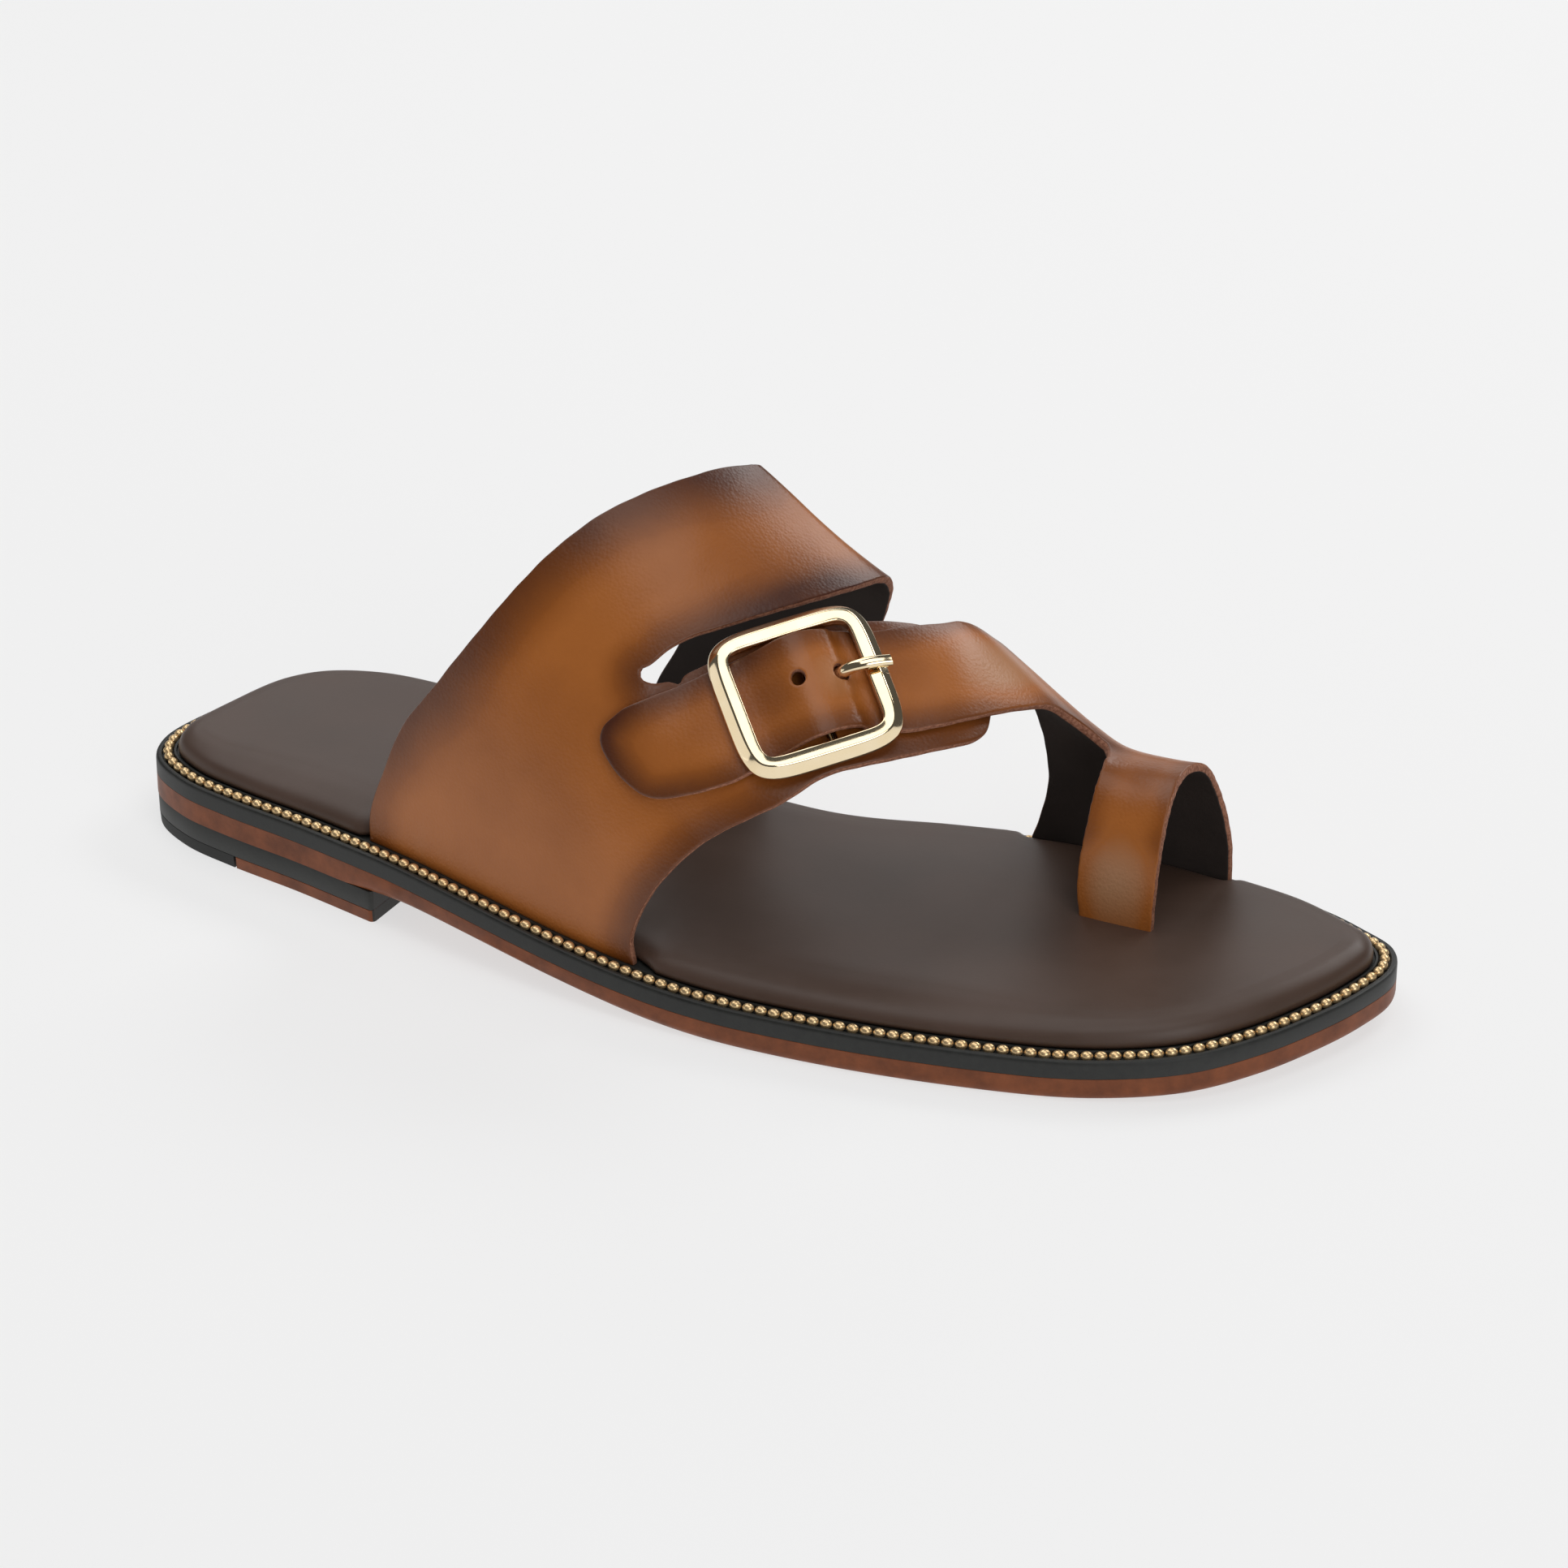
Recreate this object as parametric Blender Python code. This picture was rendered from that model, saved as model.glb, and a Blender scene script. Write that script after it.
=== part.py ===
# Buckled slipper for the right foot: a stacked sole, a padded footbed, and two leather straps with a buckle.
# The toe points along +X, the medial side is +Y, and the sole stands on Z = 0.
import math

import bmesh
import bpy
import numpy as np
from mathutils import Vector
from mathutils.geometry import delaunay_2d_cdt

MM = 0.001  # the sizes below are millimetres, and the meshes are metres

# Sole stack, from the floor up
FOREFOOT_HEIGHT = 9.2
HEEL_RAISE = 8.0
HEEL_RAMP_BACK = 72.0
HEEL_RAMP_FRONT = 172.0
TOE_SPRING = 4.0
TOE_SPRING_START = 225.0
TOE_SPRING_RUN = 65.0
WELT_THICKNESS = 4.1
SEAT_GAP = 0.3
TOP_PIECE_THICKNESS = 3.1
WAIST_BEVEL = 2.4
WAIST_MIDDLE = 112.0
WAIST_REACH = 42.0
EDGE_FREE_START = 62.0  # the outsole's edge is flush over the heel and rounded from here on
EDGE_FREE_RUN = 22.0

OUTSOLE_EDGE = (
    # inset, share of the waist's bevel, rise from the tread
    (1.0, 1.0, 0.0),
    (0.3, 0.5, 0.7),
    (0.0, 0.0, 2.0),
)

# Heel block, tapered from its seat down to the floor
BREAST_ALONG = 73.0
BREAST_CORNER = 1.2
TOP_PIECE_SPLIT = 31.5
HEEL_SEAT_INSET = 0.1
HEEL_SEAM_INSET = 0.2
HEEL_FLOOR_INSET = 0.4

# Welt top: an outer lip, a channel for the bead row and an inner strip
LIP_ROUND = 0.5
CHANNEL_OUTER = 1.5
CHANNEL_INNER = 4.1
CHANNEL_DEPTH = 0.9
STRIP_INNER = 4.9
STRIP_HEIGHT = 0.5
BEAD_INSET = 2.8
BEAD_HALF_WIDTH = 1.0
BEAD_SHOULDER = 0.55
BEAD_RISE = 1.4

# Upper and footbed
WALL = 2.0
WALL_INSET = 7.5
FOOTBED_INSET = 5.3
FOOTBED_LEG_INSET = 8.0  # beside the legs of the leather
FOOTBED_LEG_MARGIN = 4.0
FOOTBED_LEG_BLEND = 7.0
FOOTBED_CROWN = 6.0
FOOTBED_CENTRE_LIFT = 0.2
FOOTBED_SLOPE = 2.0  # the round is this much wider on the lateral side, between heel and toe
FOOTBED_SLOPE_START = 45.0
FOOTBED_SLOPE_END = 205.0
FOOTBED_SLOPE_RUN = 55.0
FOOTBED_TOE_GAIN = 0.14  # the medial side is thicker towards the toe
FOOTBED_TOE_START = 242.0
FOOTBED_TOE_RUN = 22.0
FOOTBED_TOE_SIDE = -30.0  # and from here across
FOOTBED_TOE_ACROSS = 70.0
CROWN_RUN = 25.0  # the lift of the middle line starts from both ends over this length
LATERAL_FULLNESS = 2.0
MEDIAL_FULLNESS = 2.6
TOE_FULLNESS = 2.3
TOE_LEG_ACROSS = 14.0
TOE_BLEND_BACK = 211.0
TOE_BLEND_FRONT = 220.0
STRAP_LIFT = 2.5
LIFT_GIRTH_END = 0.95
LIFT_GIRTH_GONE = 1.2
LIFT_ALONG_END = 206.0
LIFT_ALONG_GONE = 219.0

# Meshing
HALF_STATIONS = 44
HEEL_STATIONS = 14
CURVE_DETAIL = 24
GIRTH = 95.0
GIRTH_STEP = 0.004
ALONG_STEP = 0.3
SHEET_SPACING = 4.8
EDGE_SPACING = 3.5
EDGE_CLEAR = 0.6
RIDGE_ROWS = (0.94, 0.975, 1.0, 1.02, 1.05, 1.1)
RIDGE_CLEAR = 2.0
PATTERN_TOLERANCE = 1e-5
SHARP_ANGLE = 40.0

# Sole outline: distance from the heel, then how far the edge reaches to the lateral and the medial side
SOLE_STATIONS = (
    # along, lateral, medial
    (15.0, -31.8, 29.8),
    (30.0, -35.4, 37.0),
    (50.0, -38.4, 38.6),
    (75.0, -43.3, 36.2),
    (100.0, -48.4, 34.2),
    (125.0, -52.1, 34.0),
    (150.0, -53.7, 37.0),
    (175.0, -52.6, 46.0),
    (200.0, -49.3, 53.0),
    (225.0, -43.7, 54.8),
    (248.0, -36.5, 52.6),
    (266.0, -26.0, 47.8),
    (277.0, -12.8, 42.4),
)
# The blunt heel and the slanted square toe close the outline
HEEL_END = (
    # along, across
    (6.6, 19.4),
    (1.8, 4.0),
    (-0.8, -14.5),
    (3.4, -24.6),
)
TOE_END = (
    # along, across
    (284.2, 0.5),
    (289.2, 13.5),
    (291.2, 26.0),
    (287.2, 35.4),
)
# Top line of the last, where both halves of each section meet
LAST_RIDGE = (
    # along, across, height
    (60.0, 20.0, 128.0),
    (100.0, 20.0, 116.0),
    (120.0, 20.3, 107.0),
    (127.0, 20.6, 103.8),
    (135.0, 21.2, 99.6),
    (142.0, 21.9, 94.5),
    (150.0, 22.0, 88.6),
    (160.0, 21.0, 82.6),
    (170.0, 20.0, 77.4),
    (183.0, 20.0, 72.2),
    (190.0, 20.0, 68.8),
    (197.0, 20.4, 63.3),
    (205.0, 21.2, 56.6),
    (212.0, 22.6, 51.0),
    (220.0, 25.0, 46.0),
    (232.0, 29.5, 44.2),
    (246.0, 31.5, 45.5),
)
# Rounded side of the padded footbed
FOOTBED_PROFILE = (
    # inward, rise
    (0.0, 0.2),
    (0.0, 1.2),
    (0.45, 2.6),
    (1.5, 4.1),
    (3.3, 5.15),
    (6.5, 5.7),
)
# Legs of the leather beside the footbed
LEATHER_LEGS = (
    # side (lateral -1, medial 1), from, to
    (-1, 69.3, 143.7),
    (1, 103.0, 135.0),
    (1, 194.3, 243.0),
)

# Cutting lines on the last. Girth is 0 at the lateral welt, 1 on the ridge and 2 at the medial welt.
BAND_REAR_EDGE = (
    # along, girth
    (69.3, 0.0),
    (69.6, 0.04),
    (73.0, 0.10),
    (78.0, 0.18),
    (87.8, 0.28),
    (97.8, 0.402),
    (103.5, 0.485),
    (108.5, 0.563),
    (115.5, 0.674),
    (125.4, 0.823),
    (130.7, 0.921),
    (135.0, 1.02),
    (133.5, 1.2),
    (127.0, 1.5),
    (118.5, 1.74),
    (112.4, 1.84),
    (107.6, 1.9),
    (103.0, 2.0),
)
BAND_FRONT_EDGE = (
    # along, girth
    (135.0, 2.0),
    (137.0, 1.93),
    (142.0, 1.84),
    (150.0, 1.73),
    (157.5, 1.62),
    (162.2, 1.53),
    (165.0, 1.4),
    (166.6, 1.27),
    (167.0, 1.15),
    (166.8, 1.04),
    (165.0, 0.951),
    (158.4, 0.807),
    (148.6, 0.664),
    (140.7, 0.563),
    (136.2, 0.492),
    (134.9, 0.476),
    (135.3, 0.464),
    (137.2, 0.468),
    (142.7, 0.521),
    (150.8, 0.618),
    (161.5, 0.763),
    (172.5, 0.88),
    (180.8, 0.955),
    (187.0, 0.972),
    (194.0, 0.958),
    (198.5, 0.915),
    (200.8, 0.86),
    (201.5, 0.825),
    (200.8, 0.79),
    (198.8, 0.745),
    (189.8, 0.613),
    (179.2, 0.505),
    (171.5, 0.4),
    (158.1, 0.282),
    (150.3, 0.187),
    (145.3, 0.106),
    (142.9, 0.04),
    (143.7, 0.0),
)
STRAP_EDGE = (
    # along, girth
    (218.0, 1.125),
    (214.5, 1.14),
    (211.3, 1.12),
    (208.2, 1.065),
    (204.5, 0.97),
    (199.8, 0.85),
    (194.8, 0.745),
    (190.2, 0.682),
    (186.3, 0.652),
    (181.6, 0.621),
    (175.9, 0.561),
    (170.1, 0.499),
    (163.0, 0.41),
    (156.8, 0.365),
    (150.2, 0.328),
    (143.8, 0.3),
    (138.2, 0.3),
    (133.8, 0.315),
    (131.2, 0.335),
    (131.0, 0.357),
    (133.5, 0.393),
    (138.2, 0.445),
    (148.3, 0.551),
    (155.0, 0.633),
    (165.6, 0.767),
    (174.0, 0.845),
    (179.8, 0.915),
    (183.2, 0.965),
    (185.5, 1.02),
    (190.5, 1.2),
    (195.5, 1.5),
    (198.2, 1.72),
    (198.5, 1.85),
    (196.5, 1.95),
    (194.3, 2.0),
)
LOOP_FRONT_EDGE = (
    # along, girth
    (243.0, 2.0),
    (242.8, 1.85),
    (241.7, 1.7),
    (240.2, 1.5),
    (239.2, 1.2),
    (238.3, 1.04),
    (238.5, 0.91),
    (239.1, 0.69),
    (239.6, 0.46),
    (239.7, 0.2),
    (239.5, 0.0),
)
LOOP_REAR_EDGE = (
    # along, girth
    (222.0, 0.0),
    (221.3, 0.1),
    (221.3, 0.24),
    (221.8, 0.45),
    (221.6, 0.7),
    (221.1, 0.92),
    (220.2, 1.04),
    (218.0, 1.125),
)
# Punched holes in the strap: along, girth
PRONG_HOLE = (172.6, 0.701)
PRONG_HOLE_RADIUS = 2.1
SPARE_HOLE = (166.3, 0.64)
SPARE_HOLE_RADIUS = 1.6
HOLE_SIDES = 10

# Buckle, measured along the strap, across it and up from the last under its middle
BUCKLE_MIDDLE = (168.4, 0.633)
BUCKLE_LEAD = (176.5, 0.726)
BUCKLE_LENGTH = 37.4
BUCKLE_WIDTH = 36.2
BUCKLE_CORNER = 8.4
BUCKLE_LIFT = 3.6
CORNER_STEPS = 5
PRESS_BEND = 0.0063
PRESS_FULL = 22.0
PRESS_GONE = 38.0
PRESS_LINE_ALONG = 142.7  # the press stops at the slot, which follows this line on the last
PRESS_LINE_GIRTH = 0.55
PRESS_LINE_SLOPE = 0.01383
PRESS_LINE_BLEND = 0.03
CENTRE_BAR_ALONG = 1.0
CENTRE_BAR_RADIUS = 1.25
CENTRE_BAR_HEIGHT = 3.8
CENTRE_BAR_SIDES = 8
BAR_SECTION = (
    # outward from the bar's middle, up
    (-2.2, 0.3),
    (-1.2, 0.0),
    (1.4, 0.0),
    (2.6, 0.8),
    (2.6, 1.7),
    (1.5, 2.9),
    (-0.6, 3.4),
    (-2.2, 2.7),
)
# The strap rides up over the centre bar
HUMP = (
    # along the strap, extra lift
    (-12.5, 0.0),
    (-9.0, 0.35),
    (-4.0, 2.1),
    (-0.5, 3.5),
    (2.5, 3.5),
    (5.0, 2.5),
    (7.5, 0.7),
    (9.5, 0.0),
)
PRONG_PATH = (
    # along the strap, across it, up
    (4.2, 1.7, 3.1),
    (6.0, 1.6, 3.3),
    (7.4, 1.5, 4.1),
    (8.7, 1.4, 5.6),
    (10.3, 1.2, 7.1),
    (12.4, 0.8, 8.1),
    (16.0, 0.3, 8.35),
    (19.2, -0.2, 7.9),
)
PRONG_STEP = 1.3
PRONG_SECTION = (
    # across, up
    (-0.9, -0.75),
    (0.9, -0.75),
    (1.15, 0.15),
    (0.7, 0.75),
    (-0.7, 0.75),
    (-1.15, 0.15),
)

COLOURS = {
    # red, green, blue, metallic, roughness
    "tan_leather": (0.30, 0.115, 0.028, 0.0, 0.38),
    "black_welt": (0.018, 0.019, 0.017, 0.0, 0.55),
    "brown_sole_leather": (0.135, 0.042, 0.020, 0.0, 0.45),
    "black_heel": (0.016, 0.017, 0.016, 0.0, 0.55),
    "brown_top_piece": (0.135, 0.042, 0.020, 0.0, 0.5),
    "black_rubber": (0.014, 0.015, 0.014, 0.0, 0.7),
    "footbed_leather": (0.058, 0.040, 0.033, 0.0, 0.5),
    "gold_metal": (0.86, 0.62, 0.33, 1.0, 0.15),
    "gold_bead": (0.72, 0.47, 0.22, 1.0, 0.3),
}


def ease(value):
    t = np.clip(value, 0.0, 1.0)
    return t * t * (3.0 - 2.0 * t)


def lerp(p, q, start, end, u):
    return p + (q - p) * (u - start) / (end - start)


def curve_through(points, closed):
    """Smooth curve through the points, finely sampled."""
    pts = np.array(points, float)
    if closed:
        pts = np.vstack([pts[-1:], pts, pts[:2]])
    else:
        pts = np.vstack([2 * pts[:1] - pts[1:2], pts, 2 * pts[-1:] - pts[-2:-1]])
    out = []
    for i in range(len(pts) - 3):
        p = pts[i:i + 4]
        gaps = np.sqrt(np.linalg.norm(np.diff(p, axis=0), axis=1))
        knots = np.concatenate([[0.0], np.cumsum(gaps)])
        for u in np.linspace(knots[1], knots[2], CURVE_DETAIL, endpoint=False):
            a = [lerp(p[j], p[j + 1], knots[j], knots[j + 1], u) for j in range(3)]
            b = [lerp(a[j], a[j + 1], knots[j], knots[j + 2], u) for j in range(2)]
            out.append(lerp(b[0], b[1], knots[1], knots[2], u))
    if not closed:
        out.append(pts[-2])
    return np.array(out)


def even_points(curve, spacing):
    """Open curve resampled at an even spacing, with both ends kept."""
    run = np.concatenate([[0.0], np.cumsum(np.linalg.norm(np.diff(curve, axis=0), axis=1))])
    count = max(1, round(run[-1] / spacing))
    marks = np.linspace(0.0, run[-1], count + 1)
    return np.column_stack([np.interp(marks, run, column) for column in curve.T])


def table_column(table, column, along):
    rows = curve_through(table, False)
    return np.interp(along, rows[:, 0], rows[:, column])


def sole_outline():
    lateral = tuple((along, low) for along, low, high in SOLE_STATIONS)
    medial = tuple((along, high) for along, low, high in reversed(SOLE_STATIONS))
    return curve_through(HEEL_END + lateral + TOE_END + medial, True)


def sole_sides(inset):
    """Lateral and medial edge of the sole outline moved inwards, both from heel to toe."""
    tangent = np.roll(OUTLINE, -1, 0) - np.roll(OUTLINE, 1, 0)
    tangent /= np.linalg.norm(tangent, axis=1)[:, None]
    inward = np.column_stack([-tangent[:, 1], tangent[:, 0]])
    edge = OUTLINE + inward * np.broadcast_to(inset, len(OUTLINE))[:, None]
    edge = np.roll(edge, -np.argmin(edge[:, 0]), 0)
    toe = np.argmax(edge[:, 0])
    return edge[:toe + 1], np.vstack([edge[toe:], edge[:1]])[::-1]


def side_at(side, along):
    return np.interp(along, side[:, 0], side[:, 1])


def full_stations(inset):
    """Stations from heel to toe, closer together at both ends."""
    lateral, _ = sole_sides(inset)
    steps = (np.arange(HALF_STATIONS) + 0.5) / HALF_STATIONS
    share = 0.5 - 0.5 * np.cos(np.pi * steps)
    return lateral[0, 0] + (lateral[-1, 0] - lateral[0, 0]) * share


def loop_of(lateral_points, medial_points):
    return np.vstack([lateral_points, medial_points[::-1]])


def sole_ring(inset):
    along = full_stations(inset)
    lateral, medial = sole_sides(inset)
    low = np.column_stack([along, side_at(lateral, along)])
    high = np.column_stack([along, side_at(medial, along)])
    return loop_of(low, high)


def heel_ring(inset, back, front, rounded):
    """Part of the heel between two stations, with rounded corners at the breast."""
    lateral, medial = sole_sides(inset)
    corner = BREAST_CORNER if rounded else 0.0
    if back is None:
        steps = (np.arange(HEEL_STATIONS) + 0.5) / HEEL_STATIONS
        along = lateral[0, 0] + (front - corner - lateral[0, 0]) * (1.0 - np.cos(0.5 * np.pi * steps))
    else:
        along = np.linspace(back, front - corner, HEEL_STATIONS // 2)
    narrowing = np.zeros(len(along))
    turn = np.linspace(0.0, 0.5 * np.pi, CORNER_STEPS)
    if rounded:
        along = np.concatenate([along, front - corner + corner * np.sin(turn)])
        narrowing = np.concatenate([narrowing, corner - corner * np.cos(turn)])
    else:
        along = np.append(along, front)
        narrowing = np.append(narrowing, 0.0)
    low = np.column_stack([along, side_at(lateral, along) + narrowing])
    high = np.column_stack([along, side_at(medial, along) - narrowing])
    return loop_of(low, high)


def welt_top(along):
    ramp = ease((along - HEEL_RAMP_BACK) / (HEEL_RAMP_FRONT - HEEL_RAMP_BACK))
    spring = np.clip((along - TOE_SPRING_START) / TOE_SPRING_RUN, 0.0, None)
    return FOREFOOT_HEIGHT + HEEL_RAISE * (1.0 - ramp) + TOE_SPRING * spring ** 2


def at_height(loop, height):
    """Ring of points over a flat loop, at one height or at a height for each point."""
    return np.column_stack([loop, np.broadcast_to(height, len(loop))])


def over_welt(inset, rise):
    loop = sole_ring(inset)
    return at_height(loop, welt_top(loop[:, 0]) + rise)


def footbed_edge():
    """Inset of the footbed at every point of the sole outline, larger beside the leather's legs."""
    beside = np.zeros(len(OUTLINE))
    for side, start, end in LEATHER_LEGS:
        beyond = np.maximum(start - OUTLINE[:, 0], OUTLINE[:, 0] - end) - FOOTBED_LEG_MARGIN
        near = np.where(OUTLINE[:, 1] * side > 0.0, 1.0 - ease(beyond / FOOTBED_LEG_BLEND), 0.0)
        beside = np.maximum(beside, near)
    return FOOTBED_INSET + (FOOTBED_LEG_INSET - FOOTBED_INSET) * beside


def footbed_round():
    """Width factor of the footbed's round at every point of the sole outline."""
    edge = np.roll(OUTLINE, -1, axis=0) - np.roll(OUTLINE, 1, axis=0)
    facing = np.abs(edge[:, 0]) / np.linalg.norm(edge, axis=1) * np.sign(OUTLINE[:, 1])
    lateral = ease((0.15 - facing) / 0.6)
    past_heel = ease(OUTLINE[:, 0] / FOOTBED_SLOPE_START)
    before_toe = 1.0 - ease((OUTLINE[:, 0] - FOOTBED_SLOPE_END) / FOOTBED_SLOPE_RUN)
    return 1.0 + (FOOTBED_SLOPE - 1.0) * lateral * past_heel * before_toe


def footbed_ring(inset, rise):
    loop = sole_ring(inset)
    to_toe = ease((loop[:, 0] - FOOTBED_TOE_START) / FOOTBED_TOE_RUN)
    gain = 1.0 + FOOTBED_TOE_GAIN * to_toe * ease((loop[:, 1] - FOOTBED_TOE_SIDE) / FOOTBED_TOE_ACROSS)
    return at_height(loop, welt_top(loop[:, 0]) + SEAT_GAP + rise * gain)


def place(points):
    """Shoe sizes in millimetres to metres, with the middle of the sole's box over the origin."""
    low = OUTLINE.min(axis=0)
    high = OUTLINE.max(axis=0)
    middle = np.array([0.5 * (low[0] + high[0]), 0.5 * (low[1] + high[1]), 0.0])
    return (np.asarray(points, float) - middle) * MM


def add_object(name, points, faces, finish):
    mesh = bpy.data.meshes.new(name)
    mesh.from_pydata(place(points).tolist(), [], faces)
    mesh.validate()
    form = bmesh.new()
    form.from_mesh(mesh)
    bmesh.ops.recalc_face_normals(form, faces=form.faces)
    form.to_mesh(mesh)
    form.free()
    mesh.shade_smooth()
    mesh.set_sharp_from_angle(angle=math.radians(SHARP_ANGLE))
    mesh.materials.append(finish)
    obj = bpy.data.objects.new(name, mesh)
    bpy.context.scene.collection.objects.link(obj)
    return obj


def add_finish(name):
    red, green, blue, metallic, roughness = COLOURS[name]
    finish = bpy.data.materials.new(name)
    finish.use_nodes = True
    shader = finish.node_tree.nodes["Principled BSDF"]
    shader.inputs["Base Color"].default_value = (red, green, blue, 1.0)
    shader.inputs["Metallic"].default_value = metallic
    shader.inputs["Roughness"].default_value = roughness
    return finish


def stacked_solid(name, rings, finish, crown=None):
    """Closed solid through stacked rings. A crown lifts the middle line of the top."""
    count = len(rings[0])
    half = count // 2
    points = np.vstack(rings)
    faces = []
    for level in range(len(rings) - 1):
        low = level * count
        for i in range(count):
            j = (i + 1) % count
            faces.append((low + i, low + j, low + count + j, low + count + i))
    for i in range(half - 1):
        faces.append((i, count - 1 - i, count - 2 - i, i + 1))
    top = (len(rings) - 1) * count
    if crown is None:
        for i in range(half - 1):
            faces.append((top + i, top + i + 1, top + count - 2 - i, top + count - 1 - i))
    else:
        last = rings[-1]
        spine = 0.5 * (last[:half] + last[half:][::-1])
        ends = np.minimum(spine[:, 0] - spine[0, 0], spine[-1, 0] - spine[:, 0])
        spine[:, 2] += crown * ease(ends / CROWN_RUN)
        middle = len(points)
        points = np.vstack([points, spine])
        for i in range(half - 1):
            faces.append((top + i, top + i + 1, middle + i + 1, middle + i))
            faces.append((middle + i, middle + i + 1, top + count - 2 - i, top + count - 1 - i))
        faces.append((top + count - 1, top, middle))
        faces.append((top + half - 1, top + half, middle + half - 1))
    return add_object(name, points, faces, finish)


def swept_ring(name, rings, finish):
    """Closed solid with a hole in the middle: rings are joined in turn, the last to the first."""
    count = len(rings[0])
    faces = []
    for level in range(len(rings)):
        low = level * count
        high = ((level + 1) % len(rings)) * count
        for i in range(count):
            j = (i + 1) % count
            faces.append((low + i, low + j, high + j, high + i))
    return add_object(name, np.vstack(rings), faces, finish)


def swept_rod(name, rings, finish):
    """Closed rod through a row of rings, with flat ends."""
    count = len(rings[0])
    faces = [tuple(range(count))[::-1]]
    for level in range(len(rings) - 1):
        low = level * count
        for i in range(count):
            j = (i + 1) % count
            faces.append((low + i, low + j, low + count + j, low + count + i))
    faces.append(tuple(range((len(rings) - 1) * count, len(rings) * count)))
    return add_object(name, np.vstack(rings), faces, finish)


def last_form(along, girth):
    """Point on the bare last: a lateral and a medial quarter arch that meet on the ridge."""
    to_toe = ease((along - TOE_BLEND_BACK) / (TOE_BLEND_FRONT - TOE_BLEND_BACK))
    welt_lateral = side_at(WALL_SIDES[0], along)
    welt_medial = side_at(WALL_SIDES[1], along)
    ridge_across = table_column(LAST_RIDGE, 1, along)
    ridge_height = table_column(LAST_RIDGE, 2, along)
    ground = welt_top(along) + SEAT_GAP
    on_lateral = girth <= 1.0
    foot = np.where(on_lateral, welt_lateral + (TOE_LEG_ACROSS - welt_lateral) * to_toe, welt_medial)
    floor = np.where(on_lateral, ground + FOOTBED_CROWN * to_toe, ground)
    lateral_fullness = LATERAL_FULLNESS + (TOE_FULLNESS - LATERAL_FULLNESS) * to_toe
    power = 2.0 / np.where(on_lateral, lateral_fullness, MEDIAL_FULLNESS)
    turn = np.clip(np.where(on_lateral, girth, 2.0 - girth), 0.0, 1.0) * 0.5 * np.pi
    across = ridge_across + (foot - ridge_across) * np.cos(turn) ** power
    height = floor + (ridge_height - floor) * np.sin(turn) ** power
    return np.column_stack([along, across, height])


def last_point(along, girth):
    """Point on the last as the leather takes it: the buckle presses a nearly flat seat."""
    points = last_form(along, girth)
    middle, forward, _, up = BUCKLE_AXES
    offset = points - middle
    reach = np.linalg.norm(offset, axis=1)
    share = 1.0 - ease((reach - PRESS_FULL) / (PRESS_GONE - PRESS_FULL))
    above = girth - PRESS_LINE_GIRTH - PRESS_LINE_SLOPE * (along - PRESS_LINE_ALONG)
    share *= 1.0 - ease(0.5 + 0.5 * above / PRESS_LINE_BLEND)
    seat = -PRESS_BEND * (offset @ forward) ** 2
    return points + np.outer(share * (seat - offset @ up), up)


def surface_normal(surface, along, girth):
    inner = np.clip(girth, GIRTH_STEP, 2.0 - GIRTH_STEP)
    forward = surface(along + ALONG_STEP, inner) - surface(along - ALONG_STEP, inner)
    upward = surface(along, inner + GIRTH_STEP) - surface(along, inner - GIRTH_STEP)
    normal = np.cross(forward, upward)
    return normal / np.linalg.norm(normal, axis=1)[:, None]


def pattern_curve(points):
    flat = np.array(points, float) * (1.0, GIRTH)
    return even_points(curve_through(flat, False), EDGE_SPACING)


def inside(loop, points):
    """Which points lie inside a closed loop."""
    x, y = points[:, 0], points[:, 1]
    found = np.zeros(len(points), bool)
    for (ax, ay), (bx, by) in zip(loop, np.roll(loop, -1, 0)):
        crosses = (ay > y) != (by > y)
        if ay != by:
            found ^= crosses & (x < (bx - ax) * (y - ay) / (by - ay) + ax)
    return found


def pattern_grid(outline, holes):
    """Points inside the pattern, clear of its outline and holes, with extra rows along the ridge."""
    low = outline.min(axis=0)
    high = outline.max(axis=0)
    rows = np.arange(low[1], high[1], SHEET_SPACING)
    ridge = np.array(RIDGE_ROWS) * GIRTH
    rows = np.concatenate([rows[(rows < ridge[0] - RIDGE_CLEAR) | (rows > ridge[-1] + RIDGE_CLEAR)], ridge])
    columns = np.arange(low[0], high[0], SHEET_SPACING)
    grid = np.array([(x, y) for y in rows for x in columns])
    keep = inside(outline, grid)
    for loop in [outline] + holes:
        nearest = np.linalg.norm(grid[:, None] - loop[None], axis=2).min(axis=1)
        keep &= nearest > EDGE_CLEAR * EDGE_SPACING
    for hole in holes:
        keep &= ~inside(hole, grid)
    return grid[keep]


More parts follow.
